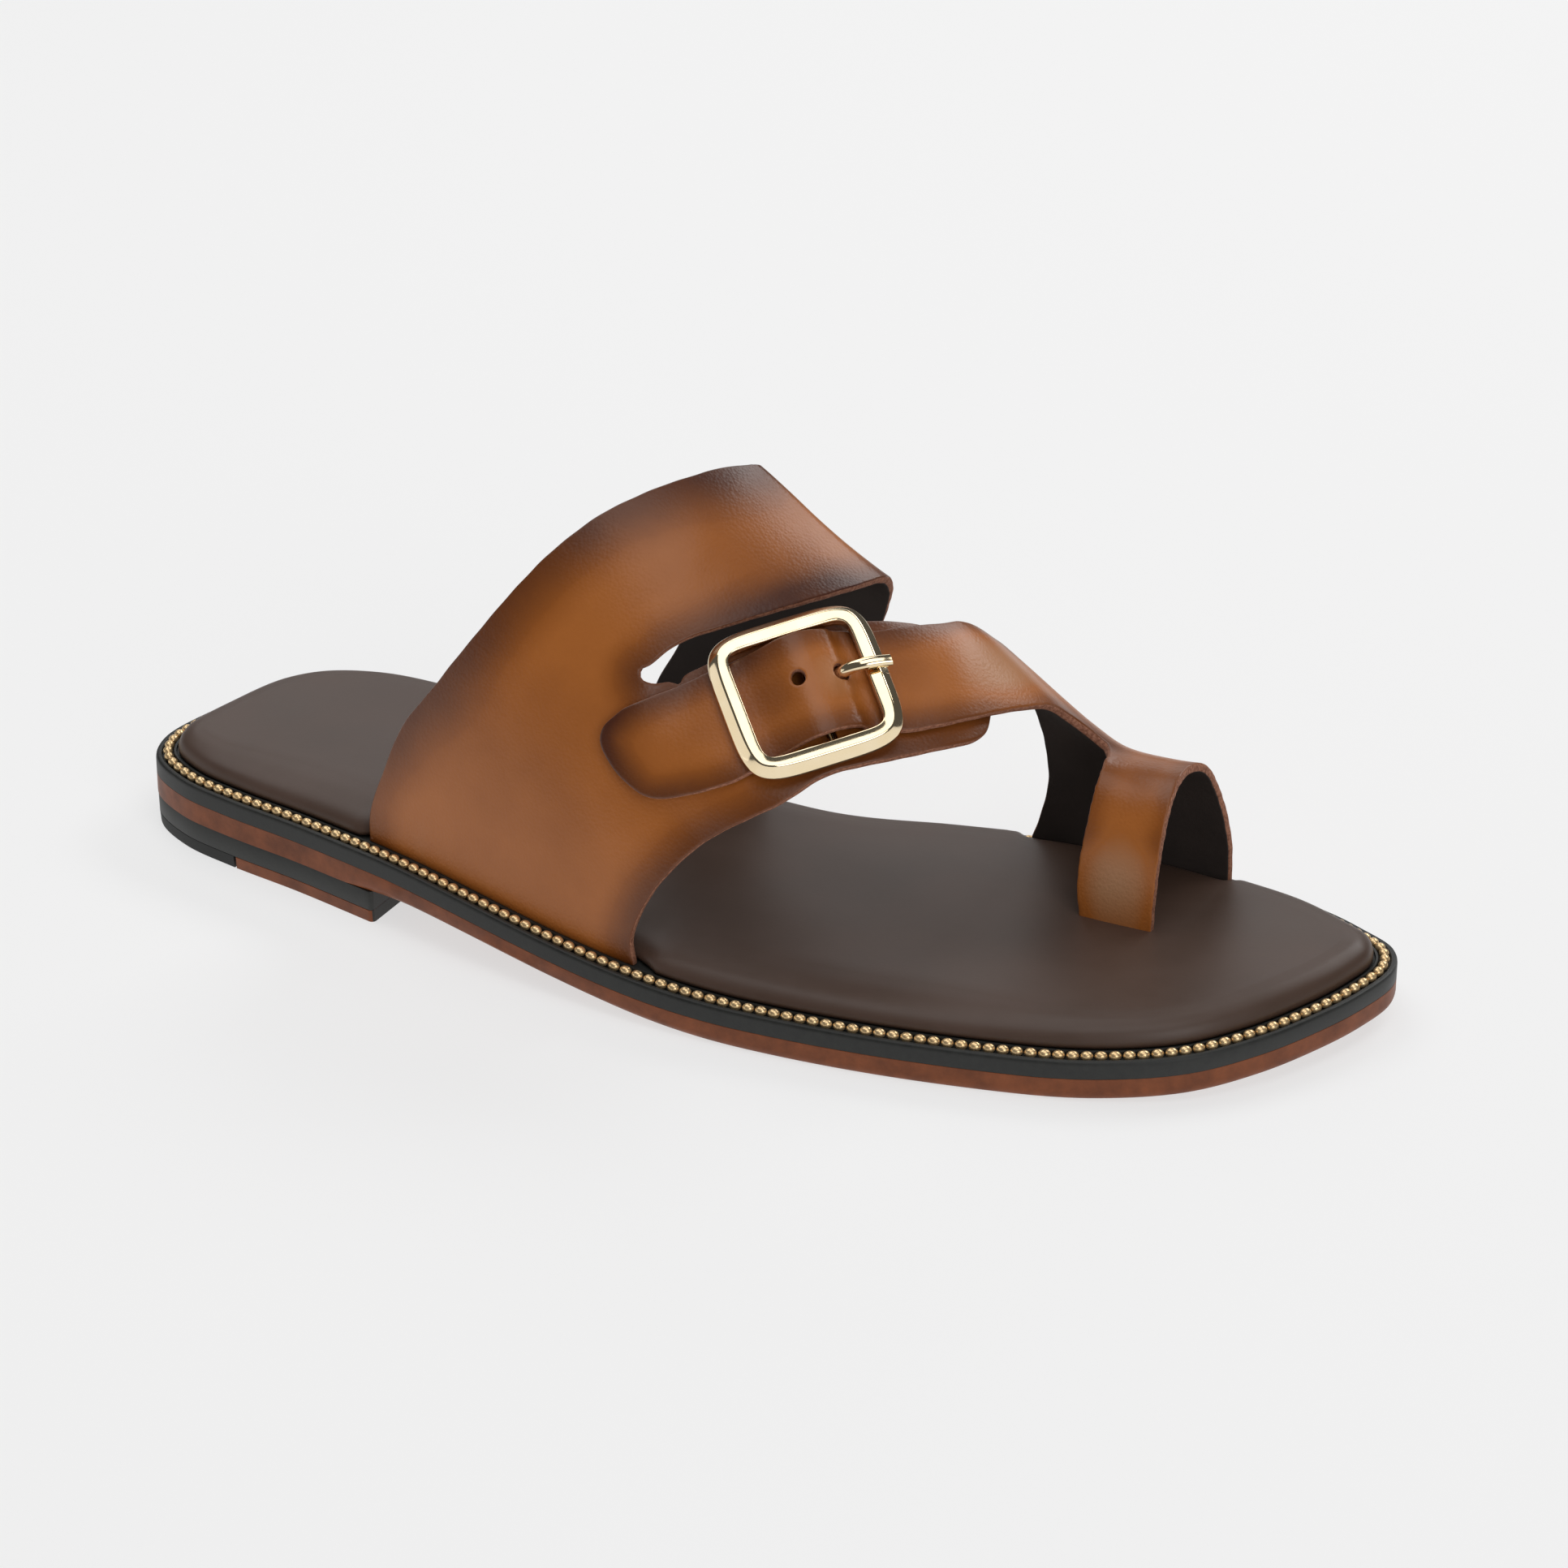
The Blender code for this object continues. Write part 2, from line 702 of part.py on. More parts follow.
def cut_sheet(name, edges, holes, lift, finish):
    """Leather piece: a flat pattern on the last, given a wall outwards from its lift."""
    outline = np.vstack([edge[:-1] for edge in edges])
    loops = [outline] + holes
    lines = []
    start = 0
    for loop in loops:
        lines += [(start + i, start + (i + 1) % len(loop)) for i in range(len(loop))]
        start += len(loop)
    flat = np.vstack(loops + [pattern_grid(outline, holes)])
    spots = [Vector(p) for p in flat]
    corners, _, cells, _, _, _ = delaunay_2d_cdt(spots, lines, [], 1, PATTERN_TOLERANCE)
    flat = np.array([tuple(p) for p in corners])
    middles = np.array([flat[list(cell)].mean(axis=0) for cell in cells])
    wanted = inside(outline, middles)
    for hole in holes:
        wanted &= ~inside(hole, middles)
    cells = [tuple(cell) for cell, good in zip(cells, wanted) if good]
    along = flat[:, 0]
    girth = np.clip(flat[:, 1] / GIRTH, 0.0, 2.0)
    base = last_point(along, girth)
    normal = surface_normal(last_point, along, girth)
    raised = lift(base, girth)[:, None]
    points = np.vstack([base + normal * raised, base + normal * (raised + WALL)])
    used = {(cell[i], cell[(i + 1) % 3]) for cell in cells for i in range(3)}
    rim = sorted((a, b) for a, b in used if (b, a) not in used)
    count = len(flat)
    faces = [tuple(count + i for i in cell) for cell in cells]
    faces += [cell[::-1] for cell in cells]
    faces += [(a, b, count + b, count + a) for a, b in rim]
    return add_object(name, points, faces, finish)


def flat_lift(base, girth):
    return np.zeros(len(base))


def strap_lift(base, girth):
    """The strap lies on the band's arm, rises over the centre bar, and comes down past the ridge."""
    middle, forward, _, _ = BUCKLE_AXES
    run = (base - middle) @ forward
    over_ridge = ease((girth - LIFT_GIRTH_END) / (LIFT_GIRTH_GONE - LIFT_GIRTH_END))
    past_arm = ease((base[:, 0] - LIFT_ALONG_END) / (LIFT_ALONG_GONE - LIFT_ALONG_END))
    return STRAP_LIFT * (1.0 - over_ridge) * (1.0 - past_arm) + table_column(HUMP, 1, run)


def punched_hole(spot, radius):
    turn = 2.0 * np.pi * np.arange(HOLE_SIDES) / HOLE_SIDES
    ring = radius * np.column_stack([np.cos(turn), np.sin(turn)])
    return ring + np.array(spot) * (1.0, GIRTH)


def buckle_axes():
    """Middle of the buckle on the last, and its directions along the strap, across it and up."""
    spots = np.array([BUCKLE_MIDDLE, BUCKLE_LEAD])
    start, lead = last_form(spots[:, 0], spots[:, 1])
    up = surface_normal(last_form, spots[:1, 0], spots[:1, 1])[0]
    forward = lead - start
    forward -= up * (forward @ up)
    forward /= np.linalg.norm(forward)
    return start, forward, np.cross(up, forward), up


def on_buckle(along, across, height):
    middle, forward, sideways, up = BUCKLE_AXES
    return middle + np.outer(along, forward) + np.outer(across, sideways) + np.outer(height, up)


def make_outsole(finish):
    free = ease((OUTLINE[:, 0] - EDGE_FREE_START) / EDGE_FREE_RUN)
    bevel = WAIST_BEVEL * np.exp(-((OUTLINE[:, 0] - WAIST_MIDDLE) / WAIST_REACH) ** 2)
    rings = []
    for inset, share, rise in OUTSOLE_EDGE:
        rings.append(over_welt(free * (inset + share * bevel), rise - FOREFOOT_HEIGHT))
    rings.append(over_welt(0.0, -WELT_THICKNESS - SEAT_GAP))
    stacked_solid("outsole", rings, finish)


def make_welt(finish):
    rings = [
        over_welt(0.0, -WELT_THICKNESS),
        over_welt(0.0, -LIP_ROUND),
        over_welt(LIP_ROUND, 0.0),
        over_welt(CHANNEL_OUTER, 0.0),
        over_welt(CHANNEL_OUTER, -CHANNEL_DEPTH),
        over_welt(CHANNEL_INNER, -CHANNEL_DEPTH),
        over_welt(CHANNEL_INNER, STRIP_HEIGHT),
        over_welt(STRIP_INNER, STRIP_HEIGHT),
        over_welt(STRIP_INNER, 0.0),
    ]
    stacked_solid("midsole_welt", rings, finish)


def make_bead_row(finish):
    floor = SEAT_GAP - CHANNEL_DEPTH
    section = (
        (-BEAD_HALF_WIDTH, floor),
        (BEAD_HALF_WIDTH, floor),
        (BEAD_HALF_WIDTH, BEAD_SHOULDER),
        (0.0, BEAD_RISE),
        (-BEAD_HALF_WIDTH, BEAD_SHOULDER),
    )
    rings = [over_welt(BEAD_INSET + inward, rise) for inward, rise in section]
    swept_ring("bead_row", rings, finish)


def make_heel(lift_finish, front_finish, rear_finish):
    seam = TOP_PIECE_THICKNESS
    lift = [
        at_height(heel_ring(HEEL_SEAM_INSET, None, BREAST_ALONG, True), seam + SEAT_GAP),
        at_height(heel_ring(HEEL_SEAT_INSET, None, BREAST_ALONG, True), HEEL_RAISE - SEAT_GAP),
    ]
    stacked_solid("heel_lift", lift, lift_finish)
    rear = [
        at_height(heel_ring(HEEL_FLOOR_INSET, None, TOP_PIECE_SPLIT, False), 0.0),
        at_height(heel_ring(HEEL_SEAM_INSET, None, TOP_PIECE_SPLIT, False), seam),
    ]
    stacked_solid("heel_top_piece_rear", rear, rear_finish)
    start = TOP_PIECE_SPLIT + SEAT_GAP
    front = [
        at_height(heel_ring(HEEL_FLOOR_INSET, start, BREAST_ALONG, True), 0.0),
        at_height(heel_ring(HEEL_SEAM_INSET, start, BREAST_ALONG, True), seam),
    ]
    stacked_solid("heel_top_piece_front", front, front_finish)


def make_footbed(finish):
    edge = footbed_edge()
    width = footbed_round()
    rings = [footbed_ring(edge + width * inward, rise) for inward, rise in FOOTBED_PROFILE]
    stacked_solid("footbed", rings, finish, FOOTBED_CENTRE_LIFT)


def make_instep_band(finish):
    rear = pattern_curve(BAND_REAR_EDGE)
    medial_base = pattern_curve((BAND_REAR_EDGE[-1], BAND_FRONT_EDGE[0]))
    front = pattern_curve(BAND_FRONT_EDGE)
    lateral_base = pattern_curve((BAND_FRONT_EDGE[-1], BAND_REAR_EDGE[0]))
    cut_sheet("instep_band", [rear, medial_base, front, lateral_base], [], flat_lift, finish)


def make_toe_strap(finish):
    edges = [
        pattern_curve(STRAP_EDGE),
        pattern_curve((STRAP_EDGE[-1], LOOP_FRONT_EDGE[0])),
        pattern_curve(LOOP_FRONT_EDGE),
        pattern_curve((LOOP_FRONT_EDGE[-1], LOOP_REAR_EDGE[0])),
        pattern_curve(LOOP_REAR_EDGE),
    ]
    holes = [punched_hole(PRONG_HOLE, PRONG_HOLE_RADIUS), punched_hole(SPARE_HOLE, SPARE_HOLE_RADIUS)]
    cut_sheet("toe_strap", edges, holes, strap_lift, finish)


def make_buckle_frame(finish):
    reach = max(outward for outward, up in BAR_SECTION)
    half_along = 0.5 * BUCKLE_LENGTH - reach
    half_across = 0.5 * BUCKLE_WIDTH - reach
    bend = BUCKLE_CORNER - reach
    outward = np.array([row[0] for row in BAR_SECTION])
    height = BUCKLE_LIFT + np.array([row[1] for row in BAR_SECTION])
    rings = []
    for quarter, (toward, side) in enumerate(((1, 1), (-1, 1), (-1, -1), (1, -1))):
        middle = np.array([toward * (half_along - bend), side * (half_across - bend)])
        for turn in 0.5 * np.pi * (quarter + np.linspace(0.0, 1.0, CORNER_STEPS + 1)):
            flat = middle + np.outer(bend + outward, (np.cos(turn), np.sin(turn)))
            rings.append(on_buckle(flat[:, 0], flat[:, 1], height))
    frame = swept_ring("buckle_frame", rings, finish)
    turn = 2.0 * np.pi * np.arange(CENTRE_BAR_SIDES) / CENTRE_BAR_SIDES
    along = CENTRE_BAR_ALONG + CENTRE_BAR_RADIUS * np.cos(turn)
    height = CENTRE_BAR_HEIGHT + CENTRE_BAR_RADIUS * np.sin(turn)
    across = np.full(CENTRE_BAR_SIDES, half_across)
    ends = [on_buckle(along, -across, height), on_buckle(along, across, height)]
    bar = swept_rod("buckle_centre_bar_form", ends, finish)
    bar.hide_render = True
    bar.display_type = "WIRE"
    join = frame.modifiers.new("centre_bar", "BOOLEAN")
    join.operation = "UNION"
    join.solver = "EXACT"
    join.object = bar


def make_buckle_prong(finish):
    path = even_points(curve_through(PRONG_PATH, False), PRONG_STEP)
    way = np.gradient(path, axis=0)
    way /= np.linalg.norm(way, axis=1)[:, None]
    sides, lifts = np.array(PRONG_SECTION).T
    rings = []
    for (along, across, up), (run, _, rise) in zip(path, way):
        rings.append(on_buckle(along - rise * lifts, across + sides, up + run * lifts))
    swept_rod("buckle_prong", rings, finish)


def clear_scene():
    for obj in list(bpy.data.objects):
        bpy.data.objects.remove(obj, do_unlink=True)


OUTLINE = sole_outline()
WALL_SIDES = sole_sides(WALL_INSET)
BUCKLE_AXES = buckle_axes()


def main():
    clear_scene()
    finishes = {name: add_finish(name) for name in COLOURS}
    make_outsole(finishes["brown_sole_leather"])
    make_welt(finishes["black_welt"])
    make_bead_row(finishes["gold_bead"])
    make_heel(finishes["black_heel"], finishes["brown_top_piece"], finishes["black_rubber"])
    make_footbed(finishes["footbed_leather"])
    make_instep_band(finishes["tan_leather"])
    make_toe_strap(finishes["tan_leather"])
    make_buckle_frame(finishes["gold_metal"])
    make_buckle_prong(finishes["gold_metal"])


main()
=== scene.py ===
import math

import bmesh
import bpy
import numpy as np
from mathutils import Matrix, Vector
from mathutils.geometry import delaunay_2d_cdt
from mathutils.kdtree import KDTree


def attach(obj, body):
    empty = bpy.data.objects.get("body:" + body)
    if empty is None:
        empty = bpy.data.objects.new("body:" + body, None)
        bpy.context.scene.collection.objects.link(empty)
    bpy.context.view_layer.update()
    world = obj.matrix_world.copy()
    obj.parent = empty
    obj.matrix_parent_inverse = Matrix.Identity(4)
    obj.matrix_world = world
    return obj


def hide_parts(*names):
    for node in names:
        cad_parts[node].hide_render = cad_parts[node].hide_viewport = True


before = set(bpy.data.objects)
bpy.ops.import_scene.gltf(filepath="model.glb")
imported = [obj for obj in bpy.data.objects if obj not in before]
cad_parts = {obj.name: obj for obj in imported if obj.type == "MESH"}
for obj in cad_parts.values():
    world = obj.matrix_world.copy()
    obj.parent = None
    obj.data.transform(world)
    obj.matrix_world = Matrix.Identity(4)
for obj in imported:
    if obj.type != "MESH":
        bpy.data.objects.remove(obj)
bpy.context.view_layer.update()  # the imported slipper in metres: toe along +X, medial side +Y, floor at Z = 0
mm = 0.001
print("frame loaded:", len(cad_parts), "nodes")


# curves and outlines, in millimetres of the shoe: along from the heel, across to the medial side, up

def ease(value):
    t = np.clip(value, 0.0, 1.0)
    return t * t * (3.0 - 2.0 * t)


def lerp(p, q, start, end, u):
    return p + (q - p) * (u - start) / (end - start)


def curveThrough(points, closed=False, detail=24):  # smooth curve through every point
    pts = np.array(points, float)
    if closed:
        pts = np.vstack([pts[-1:], pts, pts[:2]])
    else:
        pts = np.vstack([2 * pts[:1] - pts[1:2], pts, 2 * pts[-1:] - pts[-2:-1]])
    out = []
    for i in range(len(pts) - 3):
        p = pts[i:i + 4]
        gaps = np.sqrt(np.linalg.norm(np.diff(p, axis=0), axis=1))
        knots = np.concatenate([[0.0], np.cumsum(gaps)])
        for u in np.linspace(knots[1], knots[2], detail, endpoint=False):
            a = [lerp(p[j], p[j + 1], knots[j], knots[j + 1], u) for j in range(3)]
            b = [lerp(a[j], a[j + 1], knots[j], knots[j + 2], u) for j in range(2)]
            out.append(lerp(b[0], b[1], knots[1], knots[2], u))
    if not closed:
        out.append(pts[-2])
    return np.array(out)


def evenPoints(curve, spacing):  # open curve at an even spacing, both ends kept
    run = np.concatenate([[0.0], np.cumsum(np.linalg.norm(np.diff(curve, axis=0), axis=1))])
    marks = np.linspace(0.0, run[-1], max(1, round(run[-1] / spacing)) + 1)
    return np.column_stack([np.interp(marks, run, column) for column in curve.T])


sole = {
    "forefootHeight": 9.2,  # welt top over the tread
    "heelRaise": 8.0,
    "ramp": (72.0, 172.0),  # the heel height runs out between these
    "toeSpring": (4.0, 225.0, 65.0),  # rise, start, run
    "seatGap": 0.3,
    "stations": (  # along, lateral edge, medial edge
        (15.0, -31.8, 29.8), (30.0, -35.4, 37.0), (50.0, -38.4, 38.6), (75.0, -43.3, 36.2),
        (100.0, -48.4, 34.2), (125.0, -52.1, 34.0), (150.0, -53.7, 37.0), (175.0, -52.6, 46.0),
        (200.0, -49.3, 53.0), (225.0, -43.7, 54.8), (248.0, -36.5, 52.6), (266.0, -26.0, 47.8),
        (277.0, -12.8, 42.4),
    ),
    "heelEnd": ((6.6, 19.4), (1.8, 4.0), (-0.8, -14.5), (3.4, -24.6)),
    "toeEnd": ((284.2, 0.5), (289.2, 13.5), (291.2, 26.0), (287.2, 35.4)),
    "halfStations": 150,
    "waist": (2.4, 112.0, 42.0),  # undercut of the outsole: depth, middle, reach
    "freeEdge": (62.0, 22.0),  # flush over the heel, rounded from there on: start, run
}


def soleOutline():
    lateral = tuple((along, low) for along, low, _ in sole["stations"])
    medial = tuple((along, high) for along, _, high in reversed(sole["stations"]))
    return curveThrough(sole["heelEnd"] + lateral + sole["toeEnd"] + medial, True)


outline = soleOutline()
shoeMiddle = np.append(0.5 * (outline.min(axis=0) + outline.max(axis=0)), 0.0)


def placed(points):  # shoe millimetres to metres in the frame
    return (np.asarray(points, float) - shoeMiddle) * mm


def soleSides(inset):  # lateral and medial edge, moved inwards, heel to toe
    tangent = np.roll(outline, -1, 0) - np.roll(outline, 1, 0)
    tangent /= np.linalg.norm(tangent, axis=1)[:, None]
    inward = np.column_stack([-tangent[:, 1], tangent[:, 0]])
    edge = outline + inward * np.broadcast_to(inset, len(outline))[:, None]
    edge = np.roll(edge, -np.argmin(edge[:, 0]), 0)
    toe = np.argmax(edge[:, 0])
    return edge[:toe + 1], np.vstack([edge[toe:], edge[:1]])[::-1]


def sideAt(side, along):
    return np.interp(along, side[:, 0], side[:, 1])


def loopOf(lateral, medial):
    return np.vstack([lateral, medial[::-1]])


def soleRing(inset):
    lateral, medial = soleSides(inset)
    steps = (np.arange(sole["halfStations"]) + 0.5) / sole["halfStations"]
    along = lateral[0, 0] + (lateral[-1, 0] - lateral[0, 0]) * (0.5 - 0.5 * np.cos(np.pi * steps))
    low = np.column_stack([along, sideAt(lateral, along)])
    high = np.column_stack([along, sideAt(medial, along)])
    return loopOf(low, high)


def weltTop(along):
    back, front = sole["ramp"]
    rise, start, run = sole["toeSpring"]
    raised = sole["heelRaise"] * (1.0 - ease((along - back) / (front - back)))
    spring = np.clip((along - start) / run, 0.0, None)
    return sole["forefootHeight"] + raised + rise * spring ** 2


def atHeight(loop, height):
    return np.column_stack([loop, np.broadcast_to(height, len(loop))])


def overWelt(inset, rise):
    loop = soleRing(inset)
    return atHeight(loop, weltTop(loop[:, 0]) + rise)


# meshes

def addPiece(name, points, faces, materials, faceSlots=None, sharp=None):
    mesh = bpy.data.meshes.new(name)
    mesh.from_pydata(placed(points).tolist(), [], faces)
    for item in materials:
        mesh.materials.append(item)
    if faceSlots is not None:
        mesh.polygons.foreach_set("material_index", np.asarray(faceSlots, np.int32))
    form = bmesh.new()
    form.from_mesh(mesh)
    bmesh.ops.recalc_face_normals(form, faces=form.faces)
    form.to_mesh(mesh)
    form.free()
    mesh.shade_smooth()
    if sharp is not None:
        mesh.set_sharp_from_angle(angle=math.radians(sharp))
    piece = bpy.data.objects.new(name, mesh)
    bpy.context.scene.collection.objects.link(piece)
    return piece


def addValues(piece, name, values):
    field = piece.data.attributes.new(name, "FLOAT", "POINT")
    field.data.foreach_set("value", np.asarray(values, np.float32))


def joinFrame(piece, node):
    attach(piece, "root")
    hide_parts(node)


def stackFaces(count, levels):
    faces = []
    for level in range(levels - 1):
        low = level * count
        for i in range(count):
            j = (i + 1) % count
            faces.append((low + i, low + j, low + count + j, low + count + i))
    return faces


def stackedPiece(name, rings, materials, sharp=35.0):  # closed solid through stacked rings
    count = len(rings[0])
    half = count // 2
    faces = stackFaces(count, len(rings))
    top = (len(rings) - 1) * count
    for i in range(half - 1):
        faces.append((i, count - 1 - i, count - 2 - i, i + 1))
        faces.append((top + i, top + i + 1, top + count - 2 - i, top + count - 1 - i))
    return addPiece(name, np.vstack(rings), faces, materials, sharp=sharp)


def rodPiece(name, rings, materials, sharp=None):  # closed rod through a row of rings
    count = len(rings[0])
    faces = [tuple(range(count))[::-1]] + stackFaces(count, len(rings))
    faces.append(tuple(range((len(rings) - 1) * count, len(rings) * count)))
    return addPiece(name, np.vstack(rings), faces, materials, sharp=sharp)


# materials

def linear(hexColour):
    parts = [int(hexColour[i:i + 2], 16) / 255 for i in (1, 3, 5)]
    return [c / 12.92 if c <= 0.04045 else ((c + 0.055) / 1.055) ** 2.4 for c in parts] + [1.0]


def addNode(tree, kind, inputs=None, **settings):
    made = tree.nodes.new(kind)
    for name, value in settings.items():
        setattr(made, name, value)
    for name, value in (inputs or {}).items():
        if isinstance(value, bpy.types.NodeSocket):
            tree.links.new(value, made.inputs[name])
        else:
            made.inputs[name].default_value = value
    return made


def startMaterial(name, **sockets):  # fixed values, with _ for each space in a socket's name
    material = bpy.data.materials.new(name)
    material.use_nodes = True
    shader = material.node_tree.nodes["Principled BSDF"]
    for socket, value in sockets.items():
        shader.inputs[socket.replace("_", " ")].default_value = value
    return material, material.node_tree, shader


def linkShader(tree, shader, **sockets):
    for socket, value in sockets.items():
        tree.links.new(value, shader.inputs[socket.replace("_", " ")])


def perMm(size):  # texture scale for a feature of that many millimetres, on Object coordinates
    return 1000.0 / size


burnishedCalf = {
    # pale is the tone of the painted sheen, where the burnishing value falls below 0
    "pale": "#bd8c66",
    "light": "#b1682c",
    "body": "#98551d",
    "dark": "#4a220f",
    "paintedSheen": (-0.1, -0.9),  # burnishing value, below 0 a painted sheen, at which the light tone begins to pale, and is pale
    "bodyAt": 0.35,  # and has become the body tone
    "darkFrom": 0.3,  # and begins to turn dark
    "mottle": 17.0,  # mm across a cloud of colour
    "mottleShift": 0.4,  # how far a cloud moves the burnishing
    "pebble": 0.75,  # mm across a grain cell, a little coarse so that it shows
    "pebbleBump": (0.4, 0.13),  # strength, depth in mm
    "pore": 0.25,
    "poreBump": (0.12, 0.06),
    "gloss": (0.32, 0.44),
    "wax": (0.15, 0.28),  # weight, roughness
    "specular": 0.4,
}


def makeBurnishedCalf():  # waxed calf, burnished by hand: clear orange middle, near-black edges, satin
    finish = burnishedCalf
    material, tree, shader = startMaterial(
        "burnished_calf", Coat_Weight=finish["wax"][0], Coat_Roughness=finish["wax"][1],
        Specular_IOR_Level=finish["specular"])
    place = addNode(tree, "ShaderNodeTexCoord").outputs["Object"]
    burnishAndSheen = addNode(tree, "ShaderNodeAttribute", attribute_name="burnishAndSheen").outputs["Fac"]
    cloud = addNode(tree, "ShaderNodeTexNoise", {
        "Vector": place, "Scale": perMm(finish["mottle"]), "Detail": 4.0, "Roughness": 0.55}).outputs["Fac"]
    shift = addNode(tree, "ShaderNodeMath", {0: cloud, 1: 0.5}, operation="SUBTRACT").outputs[0]
    worn = addNode(tree, "ShaderNodeMath", {
        0: shift, 1: finish["mottleShift"], 2: burnishAndSheen}, operation="MULTIPLY_ADD").outputs[0]
    # the pale share is painted sheen, where the burnishing value is below 0
    paintedSheen = addNode(tree, "ShaderNodeMapRange", {
        "Value": worn, "From Min": finish["paintedSheen"][0], "From Max": finish["paintedSheen"][1]})
    lower = addNode(tree, "ShaderNodeMapRange", {"Value": worn, "From Max": finish["bodyAt"]})
    upper = addNode(tree, "ShaderNodeMapRange", {"Value": worn, "From Min": finish["darkFrom"]})
    colour = linear(finish["light"])
    for share, tone in ((paintedSheen, "pale"), (lower, "body"), (upper, "dark")):
        mixed = addNode(tree, "ShaderNodeMix", {
            0: share.outputs["Result"], 6: colour, 7: linear(finish[tone])}, data_type="RGBA")
        colour = mixed.outputs[2]
    pebble = addNode(tree, "ShaderNodeTexVoronoi", {
        "Vector": place, "Scale": perMm(finish["pebble"])}).outputs["Distance"]
    pore = addNode(tree, "ShaderNodeTexNoise", {
        "Vector": place, "Scale": perMm(finish["pore"]), "Detail": 2.0}).outputs["Fac"]
    strength, depth = finish["pebbleBump"]
    pebbled = addNode(tree, "ShaderNodeBump", {
        "Height": pebble, "Strength": strength, "Distance": depth * mm}, invert=True).outputs["Normal"]
    strength, depth = finish["poreBump"]
    grained = addNode(tree, "ShaderNodeBump", {
        "Height": pore, "Strength": strength, "Distance": depth * mm, "Normal": pebbled}).outputs["Normal"]
    gloss = addNode(tree, "ShaderNodeMapRange", {
        "Value": cloud, "To Min": finish["gloss"][0], "To Max": finish["gloss"][1]}).outputs["Result"]
    linkShader(tree, shader, Base_Color=colour, Roughness=gloss, Normal=grained)
    return material


rawCut = {
    "face": "#b07a60",
    "fibre": "#74452f",
    "strand": 0.7,  # mm across a strand, a little coarse so that it shows
    "spread": (0.35, 0.68),  # noise values from face to fibre
    "bump": (0.5, 0.2),  # strength, depth in mm
    "roughness": 0.85,
}


def makeRawCut():  # knife-cut leather edge: matt, pinkish, fibrous
    finish = rawCut
    material, tree, shader = startMaterial("raw_cut_leather", Roughness=finish["roughness"])
    place = addNode(tree, "ShaderNodeTexCoord").outputs["Object"]
    fibre = addNode(tree, "ShaderNodeTexNoise", {
        "Vector": place, "Scale": perMm(finish["strand"]), "Detail": 3.0, "Roughness": 0.65}).outputs["Fac"]
    share = addNode(tree, "ShaderNodeMapRange", {
        "Value": fibre, "From Min": finish["spread"][0], "From Max": finish["spread"][1]}).outputs["Result"]
    colour = addNode(tree, "ShaderNodeMix", {
        0: share, 6: linear(finish["face"]), 7: linear(finish["fibre"])}, data_type="RGBA").outputs[2]
    strength, depth = finish["bump"]
    frayed = addNode(tree, "ShaderNodeBump", {
        "Height": fibre, "Strength": strength, "Distance": depth * mm}).outputs["Normal"]
    linkShader(tree, shader, Base_Color=colour, Normal=frayed)
    return material


darkLining = {
    "face": "#342e2b",
    "worn": "#453b36",
    "cloud": 9.0,  # mm
    "grain": 0.7,  # mm, a little coarse so that it shows
    "bump": (0.2, 0.12),  # strength, depth in mm
    "gloss": (0.55, 0.7),
}


def makeDarkLining():  # thin charcoal lining leather: dull, with a fine grain
    finish = darkLining
    material, tree, shader = startMaterial("charcoal_lining")
    place = addNode(tree, "ShaderNodeTexCoord").outputs["Object"]
    cloud = addNode(tree, "ShaderNodeTexNoise", {
        "Vector": place, "Scale": perMm(finish["cloud"]), "Detail": 3.0}).outputs["Fac"]
    grain = addNode(tree, "ShaderNodeTexVoronoi", {
        "Vector": place, "Scale": perMm(finish["grain"])}, feature="SMOOTH_F1").outputs["Distance"]
    colour = addNode(tree, "ShaderNodeMix", {
        0: cloud, 6: linear(finish["face"]), 7: linear(finish["worn"])}, data_type="RGBA").outputs[2]
    gloss = addNode(tree, "ShaderNodeMapRange", {
        "Value": cloud, "To Min": finish["gloss"][0], "To Max": finish["gloss"][1]}).outputs["Result"]
    strength, depth = finish["bump"]
    grained = addNode(tree, "ShaderNodeBump", {
        "Height": grain, "Strength": strength, "Distance": depth * mm}, invert=True).outputs["Normal"]
    linkShader(tree, shader, Base_Color=colour, Roughness=gloss, Normal=grained)
    return material


mottledFinish = {
    "spread": (0.3, 0.7),  # cloud values from the first tone to the second
    "bump": 0.25,
}


def makeMottled(name, tones, cloudSize, grainSize, gloss, depth, **sockets):
    # two close tones in soft clouds, a fine grain, and gloss that shifts with the clouds; sizes in mm
    material, tree, shader = startMaterial(name, **sockets)
    place = addNode(tree, "ShaderNodeTexCoord").outputs["Object"]
    cloud = addNode(tree, "ShaderNodeTexNoise", {
        "Vector": place, "Scale": perMm(cloudSize), "Detail": 4.0, "Roughness": 0.6}).outputs["Fac"]
    first, second = mottledFinish["spread"]
    share = addNode(tree, "ShaderNodeMapRange", {
        "Value": cloud, "From Min": first, "From Max": second}).outputs["Result"]
    grain = addNode(tree, "ShaderNodeTexNoise", {
        "Vector": place, "Scale": perMm(grainSize), "Detail": 3.0, "Roughness": 0.6}).outputs["Fac"]
    colour = addNode(tree, "ShaderNodeMix", {
        0: share, 6: linear(tones[0]), 7: linear(tones[1])}, data_type="RGBA").outputs[2]
    rough = addNode(tree, "ShaderNodeMapRange", {
        "Value": cloud, "To Min": gloss[0], "To Max": gloss[1]}).outputs["Result"]
    grained = addNode(tree, "ShaderNodeBump", {
        "Height": grain, "Strength": mottledFinish["bump"], "Distance": depth * mm}).outputs["Normal"]
    linkShader(tree, shader, Base_Color=colour, Roughness=rough, Normal=grained)
    return material


calf = makeBurnishedCalf()
rawEdge = makeRawCut()
lining = makeDarkLining()
